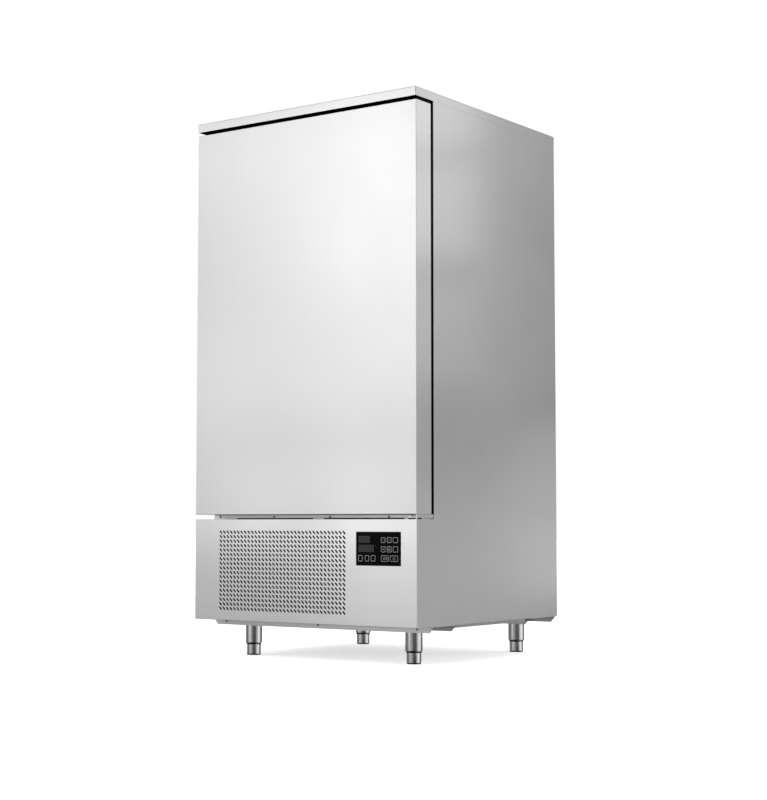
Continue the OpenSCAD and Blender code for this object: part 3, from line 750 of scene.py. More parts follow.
def filter_mat():
    """Dust filter: a pleated black net in a thin frame, made darker still as painted shade behind the slots."""
    bm = bmesh.new()
    x0, x1, z0, z1 = -hw + 90, -hw + 590, zP + 8, zP + 292
    y0, y1 = yF + 1.25, yF + 9
    plate(bm, rrect(x0, x1, z0, z1, 2, 3), [rrect(x0 + 10, x1 - 10, z0 + 8, z1 - 8, 2, 3)], y0, y1, 0.6, 2)
    n = 160
    front, back = [], []
    for i in range(n + 1):
        x = x0 + 8 + (x1 - x0 - 16) * i / n
        y = y0 + (1.5 if i % 2 else 4.5)
        front.append((x, y))
        back.append((x, y + 0.8))
    rings = [[(x, y, z) for x, y in front + back[::-1]] for z in (z0 + 6, z1 - 6)]
    skin(bm, rings, True, False)
    for z in (z0 + 6, z1 - 6):
        for i in range(n):
            bm.faces.new([bm.verts.new(p) for p in ((*front[i], z), (*front[i + 1], z), (*back[i + 1], z), (*back[i], z))])
    link_piece("condenser_filter_piece", bm, M["net"], "cabinet", ("condenser_filter",), 20)


filter_mat()

# ---------------------------------------------------------------- control unit

KEYS = [(88, 105.4, 14.2, 32.2), (109.4, 126.8, 14.2, 32.2), (130.2, 149.4, 14.2, 32.2),
        (88, 105.4, 40.6, 58.8), (109.4, 126.8, 40.6, 58.8), (130.2, 149.4, 40.6, 58.8),
        (88, 116.4, 66.8, 86), (120, 149.6, 66.8, 86),
        (6.4, 24.6, 66.6, 86), (29.8, 47.2, 66.6, 86), (51.9, 69.6, 66.6, 86)]
SHOWS = [(8.8, 49.6, 12, 32.2), (8.8, 63.8, 37.4, 58.6)]
# middle of the line printed round each key
PRINTS = [(89.6, 103.4, 16.3, 30.9), (110.4, 124.8, 16.3, 30.9), (131.0, 147.2, 16.3, 30.9),
          (89.6, 103.4, 42.3, 57.6), (110.4, 124.8, 42.3, 57.6), (131.0, 147.2, 42.3, 57.6),
          (89.4, 114.3, 68.2, 84.2), (121.2, 147.4, 68.2, 84.2),
          (8.7, 22.6, 68.2, 84.2), (32.6, 45.9, 68.2, 84.2), (54.0, 67.8, 68.2, 84.2)]


def unit_rect(k, grow=0.0, r=3.0, n=5):
    return rrect(cu + k[0] - grow, cu + k[1] + grow, cz - k[3] - grow, cz - k[2] + grow, r + grow, n)


def stroke(bm, pts, width, y):
    """A printed line with round ends: pts are (u, v) in the unit's own millimetres, v downwards."""
    line = [Vector((cu + u, cz - v)) for u, v in pts]
    closed = len(line) > 2 and (line[0] - line[-1]).length < 0.01
    if closed:
        loop = [tuple(q) for q in line[:-1]]
        if area(loop) < 0:
            loop.reverse()
        plate(bm, inset(loop, -width / 2), [inset(loop, width / 2)], y, y + 0.05, 0)
        return
    out = []
    for ends in (line, line[::-1]):
        for i, q in enumerate(ends):
            d0 = (q - ends[i - 1]).normalized() if i else (ends[1] - q).normalized()
            d1 = (ends[i + 1] - q).normalized() if i < len(ends) - 1 else d0
            m = d0 + d1
            k = width / max(1.0, m.dot(m) / 2)
            side = Vector((m.y, -m.x)) * k / 2
            if i < len(ends) - 1:
                out.append(tuple(q + side))
            else:
                a0 = math.atan2(-d0.x, d0.y)
                for j in range(5):
                    t = a0 + PI + PI * j / 4
                    out.append((q.x + width / 2 * math.cos(t), q.y + width / 2 * math.sin(t)))
    plate(bm, out, [], y, y + 0.05, 0)


def arc(u, v, r, a0, a1, n=12):
    return [(u + r * math.cos(math.radians(a0 + (a1 - a0) * i / n)), v + r * math.sin(math.radians(a0 + (a1 - a0) * i / n))) for i in range(n + 1)]


def star(u, v, r, n=3, barb=0.0):
    out = []
    for i in range(n):
        a = PI * i / n + PI / 2
        out.append([(u - r * math.cos(a), v - r * math.sin(a)), (u + r * math.cos(a), v + r * math.sin(a))])
        if barb:
            for s in (-1, 1):
                tip = (u + s * r * 0.95 * math.cos(a), v + s * r * 0.95 * math.sin(a))
                root = (u + s * r * 0.55 * math.cos(a), v + s * r * 0.55 * math.sin(a))
                for q in (-1, 1):
                    c = a + q * 0.75
                    out.append([root, (root[0] + s * barb * math.cos(c), root[1] + s * barb * math.sin(c))])
    return out


def icon(n, u, v):
    """Strokes of key n's symbol about (u, v): cold, fan, door, probe, timer, program, start, cycle, down, up, set."""
    if n == 1:
        return star(u, v, 6.4, 3, 2.0) + [[(u - 6.0, v), (u + 6.0, v)]]
    if n == 2:
        return star(u, v, 5.6, 3, 1.7) + [[(u - 5.8, v), (u + 5.8, v)], [(u - 5.4, v - 5.6), (u + 5.4, v - 5.6)]]
    if n == 3:
        return [[(u - 6.6, v - 0.9), (u + 6.6, v - 0.9)], [(u - 5.4, v - 2.4), (u + 5.4, v - 3.4)], arc(u, v + 3.4, 4.6, 160, 380)]
    if n == 4:
        return [[(u, v - 6.2), (u, v + 5.6)], arc(u, v, 1.5, 0, 360), [(u - 2.4, v), (u + 2.4, v)]]
    if n == 5:
        return [arc(u, v + 0.4, 3.9, 20, 330), [(u, v - 3.4), (u, v + 1.0), (u + 2.4, v + 1.0)]]
    if n == 6:
        return [[(u - 5.8, v - 5.2), (u + 0.4, v - 5.2), (u + 5.4, v - 1.8), (u - 1.0, v + 0.2), (u - 6.2, v + 2.0)], [(u - 5.2, v - 1.6), (u + 0.8, v - 2.2)]]
    if n == 7:
        return star(u - 1.4, v, 5.4, 3, 1.6) + [[(u - 11.0, v), (u - 4.0, v)], [(u + 5.0, v - 3.4), (u + 5.0, v + 3.4), (u + 11.4, v), (u + 5.0, v - 3.4)], arc(u - 1.4, v, 3.0, 0, 360)]
    if n == 8:
        return [arc(u, v, 3.9, 0, 360, 18), arc(u, v, 8.2, -40, 40), arc(u, v, 8.2, 140, 220)]
    if n == 9:
        return [[(u - 4.0, v), (u - 1.6, v)], [(u - 3.0, v - 1.2), (u - 3.0, v + 1.2)]]
    if n == 10:
        return [[(u - 0.4, v), (u + 3.6, v)]]
    return [[(u - 4.8, v), (u + 2.4, v)], [(u - 4.6, v - 0.9), (u + 1.6, v - 0.9)], arc(u + 1.0, v + 3.2, 3.2, -90, 60, 8)]


def control_unit():
    y = yF - 1.5
    bm = bmesh.new()
    holes = [unit_rect(k, 0.3) for k in KEYS] + [unit_rect(k, 0.0, 0.8, 2) for k in SHOWS]
    plate(bm, rrect(cu, cu + cu_w, cz - cu_h, cz, 2.6, 6), holes, y, yF + 4.0, 0.55, 3)
    # the case behind the panel: an open box
    ring = []
    for w, o in ((yF + 4.0, 3.2), (yF + 34.5, 3.2), (yF + 34.5, 5.0), (yF + 4.0, 5.0)):
        ring.append([(x, w, z) for x, z in rrect(cu + o, cu + cu_w - o, cz - cu_h + o, cz - o, 1.5, 3)])
    skin(bm, ring, True, False, True)
    link_piece("control_facia_piece", bm, M["facia"], "cabinet", ("control_facia",))

    # faint outline inside the edge, lamps beside the windows and the bridge between two keys
    bm = bmesh.new()
    out = rrect(cu + 1.6, cu + cu_w - 1.6, cz - cu_h + 1.6, cz - 1.6, 1.8, 5)
    plate(bm, out, [inset(out, 0.35)], y - 0.04, y + 0.03, 0)
    for u in (55.7, 67.6, 78.2):
        for v in (17.4, 27.0):
            for j, line in enumerate(star(u, v, 1.5, 2)):
                stroke(bm, line, 0.9, y - 0.04 - 0.006 * j)
    for u, v in ((78.6, 39.6), (78.8, 47.5), (78.4, 55.2), (78.2, 71.5), (78.2, 81.5)):
        stroke(bm, [(u - 0.9, v), (u + 0.9, v)], 1.1, y - 0.04)
    link_piece("facia_lamps", bm, M["mark_dim"], "cabinet", weighted=False)
    bm = bmesh.new()
    stroke(bm, [(69.8, 38.4), (69.6, 42.0), (71.2, 43.2)], 1.5, y - 0.04)
    link_piece("facia_lamp_lit", bm, M["mark"], "cabinet", weighted=False)
    bm = bmesh.new()
    stroke(bm, [(25.6, 76.4), (29.0, 76.4)], 4.0, y - 0.04)
    link_piece("facia_bridge", bm, M["mark_dim"], "cabinet", weighted=False)

    # display windows with the ghosts of their unlit digits
    bm = bmesh.new()
    for k in SHOWS:
        plate(bm, unit_rect(k, -0.08, 0.8, 2), [], y + 0.1, yF + 0.5, 0.35, 2)
    link_piece("display_windows_piece", bm, M["window"], "cabinet", ("display_windows",))
    bm = bmesh.new()
    for k in SHOWS:
        plate(bm, unit_rect(k, -0.5, 0.8, 2), [unit_rect(k, -1.9, 2.2, 2)], y + 0.06, y + 0.16, 0)
    link_piece("display_rims", bm, M["window_rim"], "cabinet", weighted=False)
    bm = bmesh.new()
    for k, digits in ((SHOWS[0], 3), (SHOWS[1], 4)):
        w, h = (k[1] - k[0] - 7) / digits, (k[3] - k[2]) * 0.6
        for d in range(digits):
            u, v = k[0] + 3.5 + w * (d + 0.5), (k[2] + k[3]) / 2
            a, b = w * 0.3, h / 2
            lean = 0.8
            tl, tr, ml, mr, bl, br = ((u - a + lean, v - b), (u + a + lean, v - b), (u - a, v), (u + a, v), (u - a - lean, v + b), (u + a - lean, v + b))
            for p, q in ((tl, tr), (tl, ml), (tr, mr), (ml, mr), (ml, bl), (mr, br), (bl, br)):
                p2, q2 = Vector(p).lerp(Vector(q), 0.14), Vector(p).lerp(Vector(q), 0.86)
                stroke(bm, [tuple(p2), tuple(q2)], 1.25, y + 0.06)
    link_piece("display_segments", bm, M["segment"], "cabinet", weighted=False)

    for i, k in enumerate(KEYS):
        name, body = "key_%d" % (i + 1), "key_%d" % (i + 1)
        bm = bmesh.new()
        plate(bm, unit_rect(k), [], yF - 1.3, yF + 7.0, 0.4, 3)
        link_piece(name + "_cap", bm, M["facia"], body, (name,))
        bm = bmesh.new()
        o = PRINTS[i]
        plate(bm, unit_rect(o, 0.6, 2.0), [unit_rect(o, -0.6, 2.4)], yF - 1.36, yF - 1.28, 0)
        for j, line in enumerate(icon(i + 1, (o[0] + o[1]) / 2, (o[2] + o[3]) / 2)):
            stroke(bm, line, 0.9, yF - 1.36 - 0.006 * j)
        link_piece(name + "_print", bm, M["mark"], body, weighted=False)


control_unit()

# -------------------------------------------------------------- legs and feet


def legs():
    bm = bmesh.new()
    tube_ = [(22.4, 37.0), (22.6, 36.3), (23.2, 36.1), (23.7, 36.4), (25.0, 38.3), (25.3, 38.9), (25.4, 39.7), (25.4, 108.6),
             (25.7, 109.8), (26.8, 110.8), (23.8, 110.9), (23.8, 41.4), (22.6, 41.2), (22.4, 40.6)]
    # black rings under the tubes' lower lips: painted shade, standing in for the shadow line at the step between tube
    # and foot
    ring = [(21.7, 33.2), (22.1, 32.8), (22.6, 32.8), (23.0, 33.3), (23.0, 36.2), (22.35, 36.6), (22.35, 41.0), (21.7, 41.0)]
    rings = bmesh.new()
    for x in (-foot_x, foot_x):
        for y in foot_y:
            lathe(bm, tube_, (x, y, 0), "Z", 64, loop=True)
            lathe(rings, ring, (x, y, 0), "Z", 64, loop=True)
            lathe(bm, [(8.05, 60), (23.9, 60), (23.9, 70), (8.05, 70)], (x, y, 0), "Z", 64, loop=True)
            plate(bm, rrect(x - 35, x + 35, y - 35, y + 35, 6, 5), [circle(x, y, 9, 24)], 109.2, 112, 0.5, 2, lambda u, v, w: (u, v, w))
            for sx in (-28.5, 28.5):
                for sy in (-28.5, 28.5):
                    lathe(bm, [(6.0, 109.4), (6.0, 108.2), (5.0, 108.2), (5.0, 104.6), (4.5, 104.1), (0.4, 104.1)], (x + sx, y + sy, 0), "Z", 24,
                          lambda a: hexagon(a) * 0.93)
    link_piece("leg_tubes_piece", bm, M["polished"], "cabinet", ("leg_tubes",))
    link_piece("leg_step_shade_rings", rings, M["black"], "cabinet")

    for node, x, y in (("foot_front_left", -foot_x, foot_y[0]), ("foot_front_right", foot_x, foot_y[0]),
                       ("foot_rear_left", -foot_x, foot_y[1]), ("foot_rear_right", foot_x, foot_y[1])):
        bm = bmesh.new()
        lathe(bm, [(17.0, 0.0), (19.6, 0.0), (20.4, 0.25), (20.7, 0.9), (20.7, 4.2), (17.0, 4.2)], (x, y, 0), "Z", 56, material=1)
        prof = [(16.0, 3.4), (20.9, 3.4), (21.35, 3.7), (21.5, 4.3), (21.5, 43.2), (21.1, 44.1), (20.2, 44.5), (8.6, 44.5), (7.6, 45.2)]
        z = 46.0
        while z < 93.0:
            prof += [(7.35, z), (8.0, z + 0.75), (8.0, z + 1.0)]
            z += 1.75
        prof += [(7.3, 94.2), (6.6, 95.0)]
        lathe(bm, prof, (x, y, 0), "Z", 56)
        link_piece(node + "_piece", bm, M["polished"], node, (node,), 40, mats=(M["black"],))


legs()


def cable_gland():
    bm = bmesh.new()
    at = (-300.0, 150.0, 0.0)
    # dome nut, hexagon under the pan, thread and lock nut over it
    lathe(bm, [(6.0, 98.0), (9.0, 98.0), (10.6, 98.6), (12.4, 100.6), (13.0, 102.5), (13.0, 104.0), (11.4, 104.6), (6.0, 104.6)], at, "Z", 48, loop=True)
    lathe(bm, [(6.0, 104.7), (10.8, 104.7), (10.8, 113.9), (6.0, 113.9)], at, "Z", 48, loop=True)
    lathe(bm, [(10.9, 105.4), (11.25, 104.9), (11.25, 111.6), (10.9, 112.0)], at, "Z", 48, hexagon, loop=True)
    lathe(bm, [(6.0, 113.9), (10.0, 113.9), (10.0, 127.0), (6.0, 127.0)], at, "Z", 48, loop=True)
    lathe(bm, [(10.05, 115.3), (12.9, 115.3), (12.9, 120.9), (12.5, 121.3), (10.05, 121.3)], at, "Z", 48, hexagon, loop=True)
    link_piece("cable_gland_piece", bm, M["black"], "cabinet", ("cable_gland",))


cable_gland()


def screw_heads():
    """Pan heads with a hexagonal socket."""
    bm = bmesh.new()

    def head(p, r=3.45, h=2.0):
        x, y, z = p
        dome = [(r * 0.999, 0.0), (r, -h * 0.3), (r * 0.93, -h * 0.62), (r * 0.78, -h * 0.86), (r * 0.55, -h)]
        rings = []
        seg = 24
        for rr, d in dome:
            rings.append([(x + rr * math.cos(2 * PI * i / seg), y + d, z + rr * math.sin(2 * PI * i / seg)) for i in range(seg)])
        for rr, d in ((r * 0.36, -h), (r * 0.34, -h * 0.35)):
            rings.append([(x + rr * hexagon(2 * PI * i / seg) * math.cos(2 * PI * i / seg), y + d, z + rr * hexagon(2 * PI * i / seg) * math.sin(2 * PI * i / seg)) for i in range(seg)])
        skin(bm, rings)

    for x in (-390, -174, 42, 257):
        head((x, yB, zT + 7.5))
        lathe(bm, [(2.5, 0), (2.5, 1.1)], (x, yB, zT + 7.5), "Y", 16)
    for x in (px - 52, px - 36):
        for z in (zT + 7.5, zE + 5.5):
            head((x, yB - 3, z))
            lathe(bm, [(2.5, 0), (2.5, 2.9)], (x, yB - 3, z), "Y", 16)
    for x in (-362, -3.5, 355):
        head((x, yB, zP - 9))
        lathe(bm, [(2.0, 0), (2.0, 1.9)], (x, yB, zP - 9), "Y", 16)
    link_piece("screws_piece", bm, M["screw"], "cabinet", ("screws",))


screw_heads()

# ------------------------------------------------------------- chamber inside


def chamber():
    # liner with coved corners, open at the front
    bm = bmesh.new()
    y0 = yB + 8.5
    cove, n = 14.0, 5

    def ring(y, ins, r):
        return [(x, y, z) for x, z in rrect(-cw + ins, cw - ins, zc + ins, zh - ins, r, n)]

    rings = [ring(y0, -1.0, cove + 1), ring(y0, 0.0, cove), ring(y0 + 4, 0.0, cove)]
    for i in range(n + 1):
        a = PI / 2 * i / n
        rings.append(ring(yc - cove + cove * math.sin(a), cove * (1 - math.cos(a)), max(0.4, cove * math.cos(a))))
    inner_end = rings[-1]
    back = []
    for i in range(n + 1):
        a = PI / 2 * (n - i) / n
        back.append([(x, y, z) for x, y, z in
                     [(p[0], yc - cove + (cove + 1) * math.sin(a), p[1]) for p in
                      rrect(-cw - 1 + (cove + 1) * (1 - math.cos(a)), cw + 1 - (cove + 1) * (1 - math.cos(a)),
                            zc - 1 + (cove + 1) * (1 - math.cos(a)), zh + 1 - (cove + 1) * (1 - math.cos(a)), max(0.4, (cove + 1) * math.cos(a)), n)]])
    vs = [[bm.verts.new(p) for p in r_] for r_ in rings]
    bs = [[bm.verts.new(p) for p in r_] for r_ in back]
    chain = vs[::-1]
    for a, b in list(zip(vs, vs[1:])):
        for i in range(len(a)):
            j = (i + 1) % len(a)
            bm.faces.new((a[i], a[j], b[j], b[i]))
    bm.faces.new(vs[-1])
    bm.faces.new(bs[0][::-1])
    for a, b in list(zip(bs, bs[1:])) + [(bs[-1], vs[0])]:
        for i in range(len(a)):
            j = (i + 1) % len(a)
            bm.faces.new((a[i], a[j], b[j], b[i]))
    link_piece("chamber_liner_piece", bm, M["inner"], "cabinet", ("chamber_liner",))

    # slotted posts
    bm = bmesh.new()
    for sx in (-1, 1):
        for y in (-250, 60):
            slots = [rrect(y + 6.5, y + 13.5, zc + 46 + k * 78, zc + 64 + k * 78, 1.5, 3) for k in range(13)]
            plate(bm, rrect(y, y + 20, zc + 8, zh - 10, 1.0, 2), slots, sx * (cw - 13), sx * (cw - 11.5), 0.4, 2, lambda u, v, w: (w, u, v))
            for yy in (y + 0.02, y + 18.48):
                add_box(bm, (min(sx * (cw - 11.6), sx * (cw - 0.2)), yy, zc + 8.5), (max(sx * (cw - 11.6), sx * (cw - 0.2)), yy + 1.5, zh - 10.5), 0.3, 2)
    link_piece("rack_posts_piece", bm, M["inner"], "cabinet", ("rack_posts",))

    # tray runners: rolled angles with a turned-up end
    bm = bmesh.new()
    for k in range(13):
        z = zc + 50 + k * 78
        for sx in (-1, 1):
            prof = []
            for x, h in ((290.0, 0.3), (290.3, 0.0), (321.0, 0.0), (321.7, 0.3), (322.0, 1.0), (322.0, 15.7), (321.7, 16.0), (320.8, 16.0), (320.5, 15.7), (320.5, 2.2), (320.2, 1.7), (319.7, 1.5), (290.3, 1.5), (290.0, 1.2)):
                prof.append((sx * x, z + h))
            rings = [[(x, y, h) for x, h in prof] for y in (-285.0, 100.0)]
            skin(bm, rings)
            add_box(bm, (min(sx * 292, sx * 320.6), 98.5, z + 1.4), (max(sx * 292, sx * 320.6), 100.0, z + 9), 0.5, 2)
    link_piece("tray_runners_piece", bm, M["inner"], "cabinet", ("tray_runners",))

    # fan shroud with a collar round each opening
    bm = bmesh.new()
    plate(bm, rrect(-cw, cw, zc + 70, zh, 1.0, 2), [circle(0, z, 134, 96) for z in fan_z], ySh, ySh + 1.2, 0.35, 2)
    add_box(bm, (-cw, ySh + 0.6, zc + 70), (cw, ySh + 20, zc + 71.2), 0.35, 2)
    for z in fan_z:
        lathe(bm, [(134.0, 0.3), (136.2, 0.5), (135.2, 2.0), (135.2, 11.0), (134.0, 11.0)], (0, ySh, z), "Y", 96, loop=True)
    for z in (zc + 110, zc + 585, zh - 40):
        for sx in (-1, 1):
            lathe(bm, [(4.6, 0.1), (4.5, -0.9), (3.4, -1.9), (1.6, -2.2), (0.4, -2.3)], (sx * (cw - 22), ySh, z), "Y", 20)
    link_piece("fan_shroud_piece", bm, M["inner"], "cabinet", ("fan_shroud",))

    # wire guards
    bm = bmesh.new()
    for z in fan_z:
        for r in (28, 56, 84, 112, 140):
            pts = [(r * math.cos(2 * PI * i / 72), 125.5, z + r * math.sin(2 * PI * i / 72)) for i in range(72)]
            tube(bm, pts, 1.4, 0, 8, loop=True)
        for i in range(8):
            a = PI / 4 * i
            c, s = math.cos(a), math.sin(a)
            path = [(10 * c, 128.1, z + 10 * s), (141 * c, 128.1, z + 141 * s)]
            tube(bm, path, 1.3, 0, 8)
        lathe(bm, [(14, 0.0), (14.6, -0.5), (14, -1.2), (3, -1.4)], (0, 127.0, z), "Y", 32)
        for i in range(4):
            a = PI / 4 + PI / 2 * i
            lathe(bm, [(4.2, 0.0), (4.2, -4.4), (5.6, -4.5), (5.6, -5.2), (4.2, -6.0), (0.8, -6.2)], (142.5 * math.cos(a), ySh, z + 142.5 * math.sin(a)), "Y", 20)
    link_piece("fan_guards_piece", bm, M["polished"], "cabinet", ("fan_guards",))

    # finned coil with its tubes and return bends
    bm = bmesh.new()
    x = -282.0
    while x < 283:
        add_box(bm, (x, 232, zc + 112), (x + 0.5, 314, zc + 1068))
        x += 6.0
    for sx in (-1, 1):
        plate(bm, rrect(226, yc - 0.2, zc + 105, zc + 1075, 2, 3), [], sx * 285, sx * 287.5, 0.4, 2, lambda u, v, w: (w, u, v))
    link_piece("evaporator_fins", bm, M["coil"], "cabinet", ("evaporator_coil",))
    bm = bmesh.new()
    zz = [zc + 140 + 75 * i for i in range(13)]
    for i, z in enumerate(zz):
        for y in (256, 290):
            tube(bm, [(-288, y, z), (288, y, z)], 5.0, 0, 12)
        for sx in (-1, 1):
            tube(bm, [(sx * 287, 256, z), (sx * 299, 256, z), (sx * 299, 290, z), (sx * 287, 290, z)], 5.0, 11, 12)
    link_piece("evaporator_tubes", bm, M["copper"], "cabinet")


chamber()


def blade(bm, at, hub, tip, depth, n, turn=1.0, chord0=62.0, chord1=92.0):
    """Twisted fan blades of aerofoil section about +Y. at is the front of the fan."""
    for b in range(n):
        base = 2 * PI * b / n
        rings = []
        for k in range(9):
            t = k / 8
            r = hub - 2 + (tip - hub + 1.6) * t
            chord = chord0 + (chord1 - chord0) * t
            pitch = math.asin(min(0.9, (depth - 3.0) / chord)) * (1.0 - 0.12 * t)
            sweep = 0.22 * t * t
            ring = []
            for i in range(14):
                if i < 7:
                    u, side = i / 7, 1
                else:
                    u, side = 1 - (i - 7) / 7, -1
                w = chord * (u - 0.5)
                th = 1.5 * math.sqrt(max(0.02, 4 * (u + 0.02) * (1.02 - u)))
                cam_ = 0.055 * chord * (1 - (2 * u - 1) ** 2)
                off = cam_ + side * th * 0.5
                tang = w * math.cos(pitch) - off * math.sin(pitch)
                axial = (w * math.sin(pitch) + off * math.cos(pitch)) * turn
                a = base + sweep + tang / max(r, 20)
                rr = min(r, tip)
                ring.append((at[0] + rr * math.cos(a), at[1] + depth / 2 + axial, at[2] + rr * math.sin(a)))
            rings.append(ring)
        skin(bm, rings)


def fans():
    for node, at, hub, tip in (("evaporator_fan_upper", (0, ySh + 7, fan_z[1]), 32.0, 124.0),
                               ("evaporator_fan_lower", (0, ySh + 7, fan_z[0]), 32.0, 124.0),
                               ("condenser_fan", (cfx, -266.0, cfz), 30.0, 111.0)):
        bm = bmesh.new()
        blade(bm, at, hub, tip, 28.0, 5)
        lathe(bm, [(3.0, 0.6), (18.0, 0.9), (26.0, 2.6), (hub - 1.2, 6.0), (hub, 9.5), (hub, 27.2), (hub - 0.8, 28.0),
                   (4.0, 28.0), (4.0, 51.0), (3.4, 51.9)], at, "Y", 48)
        link_piece(node + "_piece", bm, M["fan"], node, (node,), 40)
    bm = bmesh.new()
    for m, r, l, reach, yb in (((0, ySh + 42, fan_z[0]), 40, 48, 156, ySh + 1.2), ((0, ySh + 42, fan_z[1]), 40, 48, 156, ySh + 1.2),
                               ((cfx, -228, cfz), 40, 60, 140, -260)):
        prof = [(4.05, 24.0), (4.05, 0.0), (12.0, 0.0), (13.0, 0.4), (26.0, 0.8), (33.0, 2.0), (38.0, 4.8), (40.0, 8.5)]
        h = 11.0
        while h < l - 12:
            prof += [(40.0, h), (38.4, h + 0.5), (38.4, h + 2.0), (40.0, h + 2.5)]
            h += 5.0
        prof += [(40.0, l - 7.0), (38.0, l - 3.0), (33.0, l - 0.6), (26.0, l)]
        lathe(bm, prof, m, "Y", 48)
        add_box(bm, (m[0] - reach, m[1] + l - 0.1, m[2] - 14), (m[0] + reach, m[1] + l + 3, m[2] + 14), 0.8, 2)
        for d in (-1, 1):
            add_box(bm, (m[0] + d * reach - 1.5, yb, m[2] - 14), (m[0] + d * reach + 1.5, m[1] + l + 3, m[2] + 14), 0.6, 2)
            add_box(bm, (m[0] + d * (reach + 8) - 9, yb, m[2] - 14), (m[0] + d * (reach + 8) + 9, yb + 2, m[2] + 14), 0.6, 2)
            for s in (-7, 7):
                lathe(bm, [(5.2, 0.0), (5.2, 3.6), (4.7, 4.0), (0.4, 4.0)], (m[0] + d * 24, m[1] + l + 3, m[2] + s), "Y", 24, hexagon)
    link_piece("fan_motors_piece", bm, M["paint"], "cabinet", ("fan_motors",))


fans()

# --------------------------------------------------------- machine compartment


def machines():
    bm = bmesh.new()
    at = (170.0, 80.0, zP + 18)
    prof = [(60.0, 0.0), (78.0, 0.6), (84.0, 3.0), (88.5, 8.0), (91.2, 15.0), (92.0, 24.0), (92.0, 96.0), (93.4, 97.0), (93.6, 99.5), (93.4, 102.0), (92.0, 103.0), (92.0, 146.0),
            (91.0, 156.0), (88.0, 167.0), (82.5, 178.0), (74.0, 187.0), (62.0, 194.0), (46.0, 198.6), (26.0, 201.2), (8.0, 202.0)]
    lathe(bm, prof, at, "Z", 72)
    plate(bm, rrect(40, 300, -20, 180, 14, 5), [], zP + 13, zP + 18.1, 0.8, 2, lambda u, v, w: (u, v, w))
    add_box(bm, (252, 55, zP + 60), (285, 105, zP + 130), 4.0, 3)
    for sx, sy in ((58, -4), (282, -4), (58, 164), (282, 164)):
        lathe(bm, [(9.5, 18.0), (9.5, 24.0), (8.8, 24.6), (4.0, 24.6), (4.0, 28.5), (3.4, 29.0)], (sx, sy, zP), "Z", 24, lambda a: 1.0)
    link_piece("compressor_piece", bm, M["paint"], "cabinet", ("compressor",))
    bm = bmesh.new()
    for x in (58, 282):
        for y in (-4, 164):
            lathe(bm, [(12.4, 1.2), (13.0, 1.8), (13.0, 3.4), (11.2, 5.0), (10.8, 7.0), (11.2, 9.2), (13.0, 10.8), (13.0, 12.4), (12.4, 13.0)], (x, y, zP), "Z", 32)
    link_piece("compressor_mounts_piece", bm, M["rubber"], "cabinet", ("compressor_mounts",))

    bm = bmesh.new()
    x = -308.0
    while x < 159:
        add_box(bm, (x, -378, zP + 20), (x + 0.5, -322, zP + 285))
        x += 5.0
    for x in (-313, 160):
        plate(bm, rrect(-382, -320, zP + 15, zP + 290, 2, 3), [], x, x + 3, 0.5, 2, lambda u, v, w: (w, u, v))
    link_piece("condenser_fins", bm, M["coil"], "cabinet", ("condenser_coil",))
    bm = bmesh.new()
    for i in range(7):
        z = zP + 38 + i * 38
        for y in (-366, -350, -334):
            tube(bm, [(-316, y, z), (163, y, z)], 4.0, 0, 10)
    for i in range(6):
        z = zP + 38 + i * 38
        for y in (-366, -334):
            tube(bm, [(162, y, z), (174, y, z), (174, y, z + 38), (162, y, z + 38)], 4.0, 10, 10)
    # discharge, condensate, liquid and suction lines
    tube(bm, [(78, 80, zP + 146), (20, 80, zP + 146), (20, 80, zP + 266), (-345, 80, zP + 266), (-345, -350, zP + 266), (-313, -350, zP + 266)], 6, 24, 14)
    tube(bm, [(-313, -350, zP + 36), (-360, -350, zP + 36), (-360, 250, zP + 36), (-360, 250, zP + 66), (-329, 250, zP + 66)], 5, 18, 14)
    tube(bm, [(-91, 250, zP + 66), (230, 250, zP + 66), (230, 250, zc + 112)], 5, 26, 14)
    tube(bm, [(275, 290, zc + 112), (275, 290, zP + 126), (275, 130, zP + 126), (305, 130, zP + 126), (305, 130, zP + 160)], 9, 22, 16)
    lathe(bm, [(6.0, -332.5), (20.0, -331.5), (31.0, -327.5), (38.0, -320.0), (41.4, -309.0), (42.0, -300.0), (42.0, -212.0), (42.7, -211.0), (42.7, -209.0), (42.0, -208.0),
               (42.0, -120.0), (41.4, -111.0), (38.0, -100.0), (31.0, -92.5), (20.0, -88.5), (6.0, -87.5)], (0, 250, zP + 66), "X", 48)
    link_piece("pipework_piece", bm, M["copper"], "cabinet", ("pipework",))

    bm = bmesh.new()
    x, y = -20.0, 180.0
    lathe(bm, [(10.5, 98.0), (12.2, 98.0), (12.5, 98.4), (12.5, 113.6), (16.0, 114.0), (16.0, zc), (25.6, zc + 0.02), (26.0, zc + 0.4),
               (25.4, zc + 1.3), (20.0, zc + 1.5), (12.0, zc + 0.9), (10.5, zc - 0.6)], (x, y, 0), "Z", 48, loop=True)
    for i in range(-2, 3):
        w = math.sqrt(10.5 ** 2 - (4 * i) ** 2) + 0.4
        add_box(bm, (x - w, y + 4 * i - 0.7, zc - 3.2), (x + w, y + 4 * i + 0.7, zc - 1.6), 0.2, 1)
    link_piece("drain_piece", bm, M["pale"], "cabinet", ("drain",))


machines()

# CAD nodes that keep their own shape, inside the body and the door
for node in ("insulation", "door_foam"):
    me = NODES[node].data
    me.materials.clear()
    me.materials.append(M["foam"])

# --------------------------------------------------------------------- studio


PEAK = 4.0
EL_NODES = (-0.4, -0.07, 0.1, 0.28, 0.6)  # sine of the elevation
FINE = (-180, -150, -125, -100, -75, -50, -33, -15, 10, 28, 46, 64, 85, 112, 135, 150, 165, 180)
COARSE = (-180, -135, -90, -60, -33, -10, 30, 75, 115, 148, 180)
AZ_NODES = (COARSE, FINE, FINE, COARSE, COARSE)  # degrees, 0 = towards -Y, 90 = towards +X


